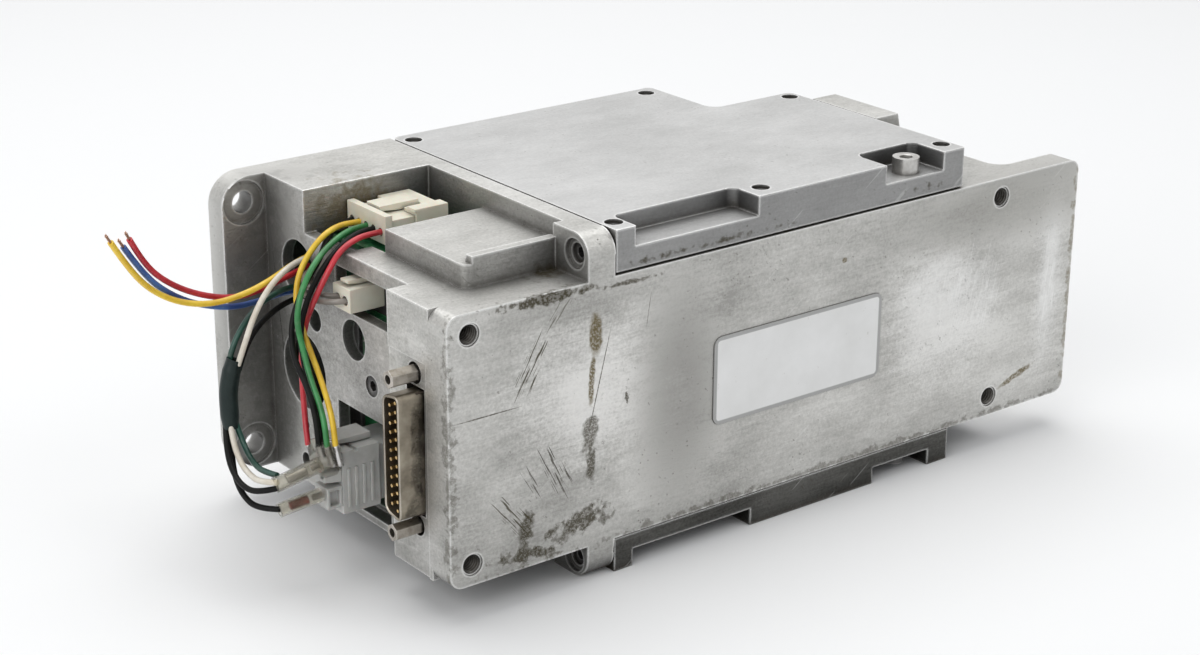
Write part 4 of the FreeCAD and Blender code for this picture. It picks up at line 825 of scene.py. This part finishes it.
# each lead's control points, from its plug, hole or sleeve to where it ends
LEADS = {
    "yellow_lead": [
        (26, 79.1, 85.6), (20, 78.8, 85.8), (13, 75.8, 87.2), (5.6, 72.8, 86.4),
        (-0.4, 72.6, 81), (-4.2, 72, 75), (-6, 70.4, 68.4), (-6.6, 66.6, 61.8), (-7, 60.6, 55.2),
        (-8.2, 53.6, 49.4), (-9.6, 47.2, 43.6), (-10.3, 44, 38), (-10.4, 43.4, 32.6)],
    "green_lead": [
        (26, 75.1, 85.6), (20, 74.9, 85.6), (13, 72, 86.2), (4, 68, 84.4), (-4, 64, 80.6),
        (-9.4, 61.8, 74), (-11.4, 61.2, 66.2), (-10.7, 59.2, 58.4), (-11, 55.4, 50.6),
        (-11.6, 49, 44), (-12.4, 45.2, 38.2), (-12.7, 44.2, 32.6)],
    "black_lead": [
        (26, 83, 85.6), (20, 82.6, 85.4), (13.5, 79, 85.5), (7.4, 73.9, 84.7), (2.6, 70.2, 80),
        (-2.6, 69, 75.4), (-8.4, 65.4, 70.4), (-11.7, 64.2, 63.2), (-13.2, 60.4, 55.4),
        (-13.2, 53.6, 49.2), (-13.4, 49.6, 43), (-13.9, 47.3, 37.4), (-14, 46.7, 32.2)],
    "second_black_lead": [
        (26, 71.1, 85.6), (20, 70.8, 85.7), (12.6, 67.8, 86.2), (4.4, 65.2, 83),
        (-1.6, 64.6, 77.4), (-5.8, 64.4, 70.6), (-8.4, 64.4, 62.8), (-9.2, 62.2, 54.8),
        (-10.4, 57.6, 47.8), (-11.2, 52.6, 41.6), (-11.5, 50, 36), (-11.6, 48.9, 31.4)],
    "red_lead": [
        (26, 67.2, 85.6), (20, 66.9, 85.7), (12.4, 64.8, 86.3), (5, 63.2, 84),
        (-0.4, 62.4, 77.4), (-4.5, 63.8, 69), (-4.3, 68.6, 61.4), (-7.2, 66.2, 53.4),
        (-10, 61.6, 46.4), (-12.8, 56.2, 40.8), (-14.7, 52.4, 35.8), (-15, 51, 31.6)],
    "grey_lead": [
        (7.3, 61.3, 70.7), (3.2, 61.5, 70.8), (0, 64.2, 71.2), (-1.5, 69.2, 71.9),
        (-0.4, 75, 72.2), (3, 80.4, 72.1), (8, 84.6, 71.8)],
    "second_grey_lead": [
        (7.6, 57.3, 70.7), (3.3, 57.4, 70.6), (-0.4, 60, 70.3), (-1.9, 65.2, 69.5),
        (-1.8, 71, 69), (0.6, 77, 68.8), (5.2, 82, 68.8), (10.4, 85.6, 68.8)],
    "free_yellow_lead": [
        (11, 89.5, 74.6), (3, 86, 74.6), (-7, 81, 73.2), (-18, 77.8, 71.7), (-30, 76.6, 71.2),
        (-41, 76, 74.3), (-51, 74, 81), (-58.5, 71.5, 90), (-64.6, 68.4, 99.4)],
    "free_red_lead": [
        (11, 91, 70.6), (2, 88.4, 69.9), (-9, 84.5, 69), (-21, 81.5, 69.6), (-33, 79.6, 74),
        (-43.5, 77.4, 80.4), (-52, 74.4, 88.6), (-57.9, 70.4, 98.4)],
    "free_blue_lead": [
        (11, 93, 62.6), (2.4, 91, 64), (-9, 86.6, 64.8), (-20, 83.4, 66), (-32, 80.8, 70.2),
        (-43, 77.6, 76.8), (-52.4, 74.2, 85.6), (-59.5, 71.2, 96.3)],
    "white_lead": [
        (11, 87, 75.2), (3, 82.9, 76.3), (-5.2, 78.6, 75.6), (-12.4, 76.5, 71.4),
        (-17.7, 75.2, 65), (-21, 74.8, 58), (-23.4, 75.6, 51)],
    "outer_dark_lead": [
        (10.8, 89.2, 65.4), (2, 86.4, 67.2), (-7, 83, 67.4), (-15, 80.5, 64.6), (-21, 79, 59.4),
        (-24.4, 78.9, 52.6), (-25.2, 78.8, 47.6)],
    "inner_black_lead": [
        (11, 89.6, 62.4), (2.6, 86.6, 63), (-6, 82.8, 62.6), (-13.4, 80.2, 60),
        (-19.2, 78.2, 55.2), (-22.4, 77.1, 48.8)],
    "low_white_lead": [
        (-27.1, 75.1, 33.2), (-27.8, 72.8, 28.2), (-28.6, 67.2, 23.8), (-29.6, 60.2, 22.8),
        (-30.2, 53.4, 23.2), (-27.2, 48.1, 24.2)],
    "low_black_lead": [
        (-27.6, 77.2, 33.2), (-29.4, 74.4, 27.4), (-31.4, 68.2, 22.4), (-32.2, 60.8, 19.8),
        (-31, 53.8, 19.8), (-26.9, 49, 22)],
    "lower_black_lead": [
        (-25.6, 77.3, 33.2), (-27.2, 75.2, 26.6), (-30.2, 69, 20.4), (-31.6, 61.8, 16.4),
        (-30.9, 54.6, 14.4), (-26.8, 48.6, 15.4)],
    "low_green_lead": [
        (-25.2, 75.3, 33.2), (-24.2, 74, 27.8), (-25, 68.4, 24.4), (-26.2, 61.6, 23.8),
        (-27, 55.4, 24.8), (-26.2, 50.2, 25.4)],
}
# each lead's insulation and its length in millimetres
LEAD_KINDS = {
    "yellow_lead": ("yellow_wire", 89.7),
    "green_lead": ("green_wire", 88.2),
    "black_lead": ("black_wire", 88.5),
    "second_black_lead": ("black_wire", 82.8),
    "red_lead": ("red_wire", 84.5),
    "grey_lead": ("grey_wire", 32.0),
    "second_grey_lead": ("grey_wire", 39.3),
    "free_yellow_lead": ("yellow_wire", 90.5),
    "free_red_lead": ("red_wire", 82.9),
    "free_blue_lead": ("blue_wire", 85.2),
    "white_lead": ("white_wire", 50.2),
    "outer_dark_lead": ("black_wire", 48.3),
    "inner_black_lead": ("black_wire", 41.4),
    "low_white_lead": ("white_wire", 32.4),
    "low_black_lead": ("black_wire", 36.1),
    "lower_black_lead": ("black_wire", 39.1),
    "low_green_lead": ("green_wire", 30.3),
}
DARK_GREEN = ("outer_dark_lead", "low_green_lead")
BARE_LENGTH = 0.0034


def smooth_curve(name, points, radius):
    """One NURBS spline through the room of its control points, with a round section."""
    curve = bpy.data.curves.new(name, "CURVE")
    curve.dimensions = "3D"
    curve.bevel_depth = radius
    curve.bevel_resolution = 5
    curve.resolution_u = 10
    curve.use_fill_caps = True
    spline = curve.splines.new("NURBS")
    spline.points.add(len(points) - 1)
    for point, place in zip(spline.points, points):
        point.co = (*place, 1)
    spline.order_u = 3
    spline.use_endpoint_u = True
    piece = bpy.data.objects.new(name, curve)
    bpy.context.scene.collection.objects.link(piece)
    return piece


def curve_points(points):
    """The line that a NURBS spline with these control points follows."""
    guide = smooth_curve("guide", points, 0.0)
    mesh = bpy.data.meshes.new_from_object(guide)
    line = [vertex.co.copy() for vertex in mesh.vertices]
    bpy.data.objects.remove(guide)
    bpy.data.meshes.remove(mesh)
    return line


STRANDS_ROUND, STRAND_RADIUS, STRAND_APART, STRAND_SUNK = 6, 0.00013, 0.00026, 0.0006
# along a strand: its share of the bare length, and how far it is from the lead's middle
STRAND_FAN = ((0.4, 0.00030), (0.75, 0.00026), (1.0, 0.00036))


def make_strands(name, start, ahead, length):
    """Bare strands round a middle one, slightly fanned out, from the cut end of a lead."""
    side = ahead.orthogonal().normalized()
    up = ahead.cross(side)
    strands = []
    for index in range(STRANDS_ROUND + 1):
        turn = index * math.tau / STRANDS_ROUND
        in_middle = index == STRANDS_ROUND
        out = Vector((0, 0, 0)) if in_middle else side * math.cos(turn) + up * math.sin(turn)
        reach = length * (1.0 - 0.07 * (index % 3))
        line = [start - ahead * STRAND_SUNK + out * STRAND_APART]
        line += [start + ahead * reach * share + out * apart for share, apart in STRAND_FAN]
        strand = smooth_curve(name, line, STRAND_RADIUS)
        strand.data.resolution_u = 4
        strand.data.bevel_resolution = 2
        strands.append(strand)
    select_all_of(strands)
    bpy.ops.object.convert(target="MESH")
    bpy.ops.object.join()
    tip = bpy.context.object
    bpy.ops.object.shade_smooth()
    return finish_piece(tip, name, "housing", copper)


def make_leads():
    for label, points in LEADS.items():
        wire, length = LEAD_KINDS[label]
        far_end = "bare" if label.startswith("free_") else "object"
        route = [at(*point) for point in points]
        piece = smooth_curve(label + "_wire", route, LEAD / 2 * MM)
        paint = WIRES["dark_green_wire"] if label in DARK_GREEN else WIRES[wire]
        finish_piece(piece, label + "_wire", "housing", paint, [label])
        if far_end == "bare":
            ahead = (route[-1] - route[-2]).normalized()
            tip = make_strands(label + "_strands", route[-1], ahead, BARE_LENGTH)
            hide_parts("bare_tips")


make_leads()


# ------------------------------------------------------------------ shaping with edit-mode operators
def start_box(low, high):
    """A box between two places in the plate's corner frame, left in object mode."""
    bpy.ops.object.select_all(action="DESELECT")
    low, high = at(*low), at(*high)
    bpy.ops.mesh.primitive_cube_add(size=1, location=(low + high) / 2)
    piece = bpy.context.object
    piece.scale = high - low
    bpy.ops.object.transform_apply(location=True, rotation=True, scale=True)
    return piece


def pick(piece, kind, chosen):
    """Selects the piece's faces, edges or vertices whose middle and direction pass a test."""
    choose(piece)
    bpy.ops.object.mode_set(mode="EDIT")
    bpy.ops.mesh.select_mode(type=kind)
    bpy.ops.mesh.select_all(action="DESELECT")
    bpy.ops.object.mode_set(mode="OBJECT")
    mesh = piece.data
    if kind == "FACE":
        for face in mesh.polygons:
            face.select = chosen(face.center, face.normal)
    elif kind == "EDGE":
        for edge in mesh.edges:
            a, b = (mesh.vertices[index].co for index in edge.vertices)
            edge.select = chosen((a + b) / 2, (b - a).normalized())
    else:
        for vertex in mesh.vertices:
            vertex.select = chosen(vertex.co, vertex.normal)
    bpy.ops.object.mode_set(mode="EDIT")


def leave_edit(piece):
    bpy.ops.mesh.select_all(action="SELECT")
    bpy.ops.mesh.normals_make_consistent(inside=False)
    bpy.ops.object.mode_set(mode="OBJECT")
    return piece


def round_off(piece, width, segments=3, angle=30):
    """Rounds a hand-made piece's edges and evens its shading."""
    choose(piece)
    bpy.ops.object.shade_smooth()
    rounding = piece.modifiers.new("rounding", "BEVEL")
    rounding.width = width * MM
    rounding.segments = segments
    rounding.limit_method = "ANGLE"
    rounding.angle_limit = math.radians(angle)
    even_shading(piece, False)
    apply_all(piece)
    return piece


def facing_back(axis):
    """Picks the faces that look against an axis."""
    return lambda middle, normal: normal[axis] < -0.9


def hole_in(piece, centre, radius, deep):
    """Cuts a blind round hole along X with a boolean rod; centre is on the face it starts from."""
    bpy.ops.object.select_all(action="DESELECT")
    bpy.ops.mesh.primitive_cylinder_add(vertices=20, radius=radius * MM, depth=2 * deep * MM,
                                        location=at(*centre), rotation=(0, math.pi / 2, 0))
    drill = bpy.context.object
    cutter = piece.modifiers.new("hole", "BOOLEAN")
    cutter.operation = "DIFFERENCE"
    cutter.solver = "EXACT"
    cutter.object = drill
    apply_all(piece)
    bpy.data.objects.remove(drill)


def join(pieces):
    select_all_of(pieces)
    bpy.ops.object.join()
    return bpy.context.object


def as_mesh(curve):
    choose(curve)
    bpy.ops.object.convert(target="MESH")
    return bpy.context.object


def rod(name, line, radius):
    """A closed round rod along a smooth line, as a mesh."""
    piece = as_mesh(smooth_curve(name, line, radius))
    weld(piece)
    leave_edit(piece)
    bpy.ops.object.shade_smooth()
    return piece


# ------------------------------------------------------------------ threads of the tapped holes
# all in millimetres, but for the number of turns
THREAD_RADIUS, THREAD_DEPTH, THREAD_PITCH, THREAD_START, THREAD_TURNS = 2.95, 0.5, 1.0, 1.0, 9


def make_threads():
    """V threads that line the four tapped holes of the plate."""
    for column, x in enumerate(TAP_COLUMNS):
        for row, z in enumerate(TAP_ROWS):
            bpy.ops.object.select_all(action="DESELECT")
            bpy.ops.mesh.primitive_torus_add(
                major_segments=36, minor_segments=4, major_radius=THREAD_RADIUS * MM,
                minor_radius=THREAD_DEPTH * MM, location=at(x, THREAD_START, z),
                rotation=(math.pi / 2, 0, 0))
            thread = bpy.context.object
            bpy.ops.object.transform_apply(location=True, rotation=True, scale=True)
            turns = thread.modifiers.new("turns", "ARRAY")
            turns.count = THREAD_TURNS
            turns.use_relative_offset = False
            turns.use_constant_offset = True
            turns.constant_offset_displace = (0, THREAD_PITCH * MM, 0)
            apply_all(thread)
            finish_piece(thread, f"tapped_thread_{column}_{row}", "housing", shaded_thread)


make_threads()


# ------------------------------------------------------------------ D connector
def make_dsub_shell():
    """The D shell: a rounded tube, wider towards the plate, open at both ends, and its flange."""
    bpy.ops.object.select_all(action="DESELECT")
    middle_y, middle_z, half_wide, half_long, taper = 17.0, 38.2, 4.18, 19.48, 1.5
    back, corner, reach_out, skin = 3.0, 2.5, 11.1, 0.85
    bpy.ops.mesh.primitive_plane_add(size=1, location=(0, 0, 0), rotation=(0, math.pi / 2, 0))
    shell = bpy.context.object
    bpy.ops.object.transform_apply(location=True, rotation=True, scale=True)
    for vertex in shell.data.vertices:
        front = vertex.co.y < 0
        reach = half_long if front else half_long - taper
        vertex.co = at(back, middle_y + (-half_wide if front else half_wide),
                       middle_z + math.copysign(reach, vertex.co.z))
    bpy.ops.object.mode_set(mode="EDIT")
    bpy.ops.mesh.select_all(action="SELECT")
    bpy.ops.mesh.bevel(offset=corner * MM, segments=6, affect="VERTICES")
    bpy.ops.mesh.extrude_region_move(TRANSFORM_OT_translate={"value": (-reach_out * MM, 0, 0)})
    bpy.ops.mesh.delete(type="FACE")
    leave_edit(shell)
    pick(shell, "FACE", lambda middle, normal: abs(normal.x) > 0.9)
    bpy.ops.mesh.delete(type="FACE")
    bpy.ops.object.mode_set(mode="OBJECT")
    wall = shell.modifiers.new("wall", "SOLIDIFY")
    wall.thickness = skin * MM
    wall.offset = -1
    apply_all(shell)
    round_off(shell, 0.32, 3, 50)
    flange = start_box((3.05, 10.85, 11.7), (3.9, 23.1, 64.7))
    pick(flange, "EDGE", lambda middle, way: abs(way.x) > 0.9)
    bpy.ops.mesh.bevel(offset=3.0 * MM, segments=5)
    leave_edit(flange)
    round_off(flange, 0.15, 2)
    shell = join([shell, flange])
    finish_piece(shell, "d_shell", "housing", shell_steel, ["dsub_shell"])


make_dsub_shell()


# ------------------------------------------------------------------ grey connector, boot and sleeves
def make_grey_snouts():
    """Lead entries of the grey connector: a tapered snout, a small tube and a dark window block."""
    upper = start_box((-15.2, 44.2, 25.2), (-7.9, 52.6, 30.6))
    pick(upper, "FACE", facing_back(0))
    bpy.ops.transform.resize(value=(1, 0.72, 0.6), center_override=at(-15.2, 48.0, 27.4))
    leave_edit(upper)
    round_off(upper, 1.5, 4)
    middle = start_box((-13.4, 44.4, 20.4), (-7.9, 50.4, 24.6))
    pick(middle, "FACE", facing_back(0))
    bpy.ops.transform.resize(value=(1, 0.6, 0.8), center_override=at(-13.4, 46.8, 22.6))
    leave_edit(middle)
    hole_in(middle, (-13.4, 46.9, 22.6), 0.6, 2.0)
    round_off(middle, 0.6, 3)
    lower = start_box((-13.2, 44.2, 12.6), (-7.9, 51.5, 19.4))
    pick(lower, "FACE", facing_back(1))
    bpy.ops.mesh.inset(thickness=1.1 * MM)
    bpy.ops.mesh.extrude_region_move(TRANSFORM_OT_translate={"value": (0, 1.6 * MM, 0)})
    leave_edit(lower)
    round_off(lower, 0.35, 3)
    snouts = join([upper, middle, lower])
    finish_piece(snouts, "grey_snouts", "housing", grey_nylon)
    ribs = []
    for x in (-6.4, -3.9, -1.2, 1.6):
        rib = start_box((x, 43.6, 12.0), (x + 1.1, 44.2, 24.5))
        ribs.append(round_off(rib, 0.2, 2))
    finish_piece(join(ribs), "grey_ribs", "housing", grey_nylon)


def make_boot():
    """The clear boot round the five lead ends, over their tinned barrels."""
    boot = start_box((-15.9, 42.1, 23.0), (-8.2, 52.4, 33.8))
    pick(boot, "FACE", facing_back(2))
    bpy.ops.transform.resize(value=(0.75, 0.7, 1), center_override=at(-11.0, 47.2, 23.0))
    leave_edit(boot)
    pick(boot, "EDGE", lambda middle, way: True)
    bpy.ops.mesh.subdivide(number_cuts=2)
    leave_edit(boot)
    pick(boot, "VERT", lambda place, normal: place.z > at(0, 0, 30.5).z)
    bpy.ops.transform.resize(value=(1.0, 0.96, 1), center_override=at(-12.0, 47.2, 33.8))
    leave_edit(boot)
    smooth = boot.modifiers.new("smooth", "SUBSURF")
    smooth.levels = smooth.render_levels = 2
    apply_all(boot)
    bpy.ops.object.shade_smooth()
    finish_piece(boot, "clear_boot", "housing", clear_sleeving, ["wire_boot"])
    barrels = []
    for label in ("yellow_lead", "green_lead", "black_lead", "second_black_lead", "red_lead"):
        x, y, z = LEADS[label][-1]
        line = [at(x, y, z + 0.5), at(x * 0.94, y * 0.98 + 0.6, z - 3), at(x * 0.86, y * 0.96 + 1.6, z - 6)]
        barrels.append(rod("barrel", line, 1.05 * MM))
    finish_piece(join(barrels), "boot_barrels", "housing", tinned)


SLEEVES = {
    "dark_sleeve": ([(-23.6, 77.2, 52.5), (-25.6, 77.6, 46), (-26.5, 77, 39), (-26.4, 76.2, 31.6)], 5.6),
    "upper_sleeve": ([(-28, 48.8, 23.2), (-21, 47, 25.4), (-14, 46.4, 27.2)], 4.8),
    "lower_sleeve": ([(-27.4, 48, 15.4), (-21, 47, 16.6), (-14, 46.4, 17.4)], 4.4),
}


def open_tube(name, line, radius, wall):
    """An open-ended sleeve with a wall, round a smooth line."""
    tube = smooth_curve(name, line, radius)
    tube.data.use_fill_caps = False
    tube.data.bevel_resolution = 8
    tube = as_mesh(tube)
    skin = tube.modifiers.new("wall", "SOLIDIFY")
    skin.thickness = wall
    skin.offset = -1
    apply_all(tube)
    pick(tube, "FACE", lambda middle, normal: True)
    leave_edit(tube)
    return tube


DARK_WALL, CLEAR_WALL = 0.5, 0.4
# the dark sleeve's grip on the leads: its share, and where it is full and ends, from the sleeve's end
GRIP, GRIP_FULL, GRIP_REACH = 0.16, 0.0025, 0.0045


def make_sleeves():
    points, diameter = SLEEVES["dark_sleeve"]
    sleeve = open_tube("dark_sleeve", [at(*point) for point in points], diameter / 2 * MM,
                       DARK_WALL * MM)
    ends = [at(*points[0]), at(*points[-1])]
    # shrunk in towards both ends, where it grips the leads
    for vertex in sleeve.data.vertices:
        end = min(ends, key=lambda place: (vertex.co - place).length)
        nearest = (vertex.co - end).length
        if nearest < GRIP_REACH:
            easing = 1 - max(0.0, nearest - GRIP_FULL) / (GRIP_REACH - GRIP_FULL)
            pull = GRIP * easing * (vertex.co - end)
            vertex.co -= Vector((pull.x, pull.y, 0))
    round_off(sleeve, 0.12, 2, 50)
    finish_piece(sleeve, "dark_shrink_sleeve", "housing", dark_shrink, ["dark_sleeve"])
    for label, paint, radius in (("upper_sleeve", tinned, 1.35), ("lower_sleeve", red_crimp, 1.3)):
        points, diameter = SLEEVES[label]
        line = [at(*point) for point in points]
        tube = open_tube(label, line, diameter / 2 * MM, CLEAR_WALL * MM)
        choose(tube)
        bpy.ops.object.shade_smooth()
        finish_piece(tube, label + "_tube", "housing", clear_sleeving, [label])
        path = curve_points(line)
        quarter = len(path) // 4
        crimp = rod(label, path[quarter:-quarter:2], radius * MM)
        finish_piece(crimp, label + "_crimp", "housing", paint)
        stub = rod(label, path[-quarter:], radius * 0.7 * MM)
        finish_piece(stub, label + "_stub", "housing", tinned)


make_grey_snouts()
make_boot()
make_sleeves()


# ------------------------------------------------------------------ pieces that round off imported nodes
SOFTENED = [
    ("main_casting", 0.3, casting_metal, "casting"),
    ("top_cover", 0.35, lid_metal, "cover"),
    ("bottom_cover", 0.35, under_metal, "cover"),
    ("label_plate", 0.12, label_face, "label"),
    ("top_cover_screws", 0.15, dark_screw, "screw_steel"),
    ("bottom_cover_screws", 0.15, dark_screw, "screw_steel"),
    ("top_clamp_screw", 0.3, bright_head, "dark_screw"),
    ("bottom_clamp_screw", 0.3, dark_screw, "screw_steel"),
    ("lug_screws", 0.2, dark_screw, "screw_steel"),
    ("end_wall_screw", 0.2, dark_screw, "screw_steel"),
    ("dsub_pins", 0.12, gold_pins, "gold"),
    ("jack_screws", 0.2, jack_steel, "connector_shell"),
    ("five_way_header", 0.25, cream_nylon, "cream_plastic"),
    ("five_way_plug", 0.3, cream_nylon, "cream_plastic"),
    ("five_way_latch", 0.2, cream_nylon, "cream_plastic"),
    ("two_way_plug", 0.3, cream_nylon, "cream_plastic"),
    ("two_way_header", 0.25, black_package, "package"),
    ("two_way_latch", 0.2, cream_nylon, "cream_plastic"),
    ("grey_plug", 0.3, grey_nylon, "grey_plastic"),
    ("grey_socket", 0.3, grey_nylon, "grey_plastic"),
    ("grey_latch", 0.2, grey_nylon, "grey_plastic"),
]
for softened_piece in SOFTENED:
    softened(*softened_piece)

NODE_PAINTS = {
    "top_gasket": gasket_rubber, "bottom_gasket": gasket_rubber, "control_board": board_green,
    "power_board": board_green, "riser_board": board_green, "board_standoffs": screw_steel,
    "board_screws": screw_steel, "riser_brackets": screw_steel, "board_chips": black_package,
    "bus_capacitors": can_sleeve, "thermal_pad": grey_pad, "power_module": black_package,
    "module_screws": screw_steel, "filter_inductor": winding, "shunt_resistors": black_package,
    "dsub_insulator": brown_block,
}


def paint_nodes():
    """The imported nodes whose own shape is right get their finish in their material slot."""
    for node, paint in NODE_PAINTS.items():
        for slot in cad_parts[node].material_slots:
            slot.material = paint


paint_nodes()
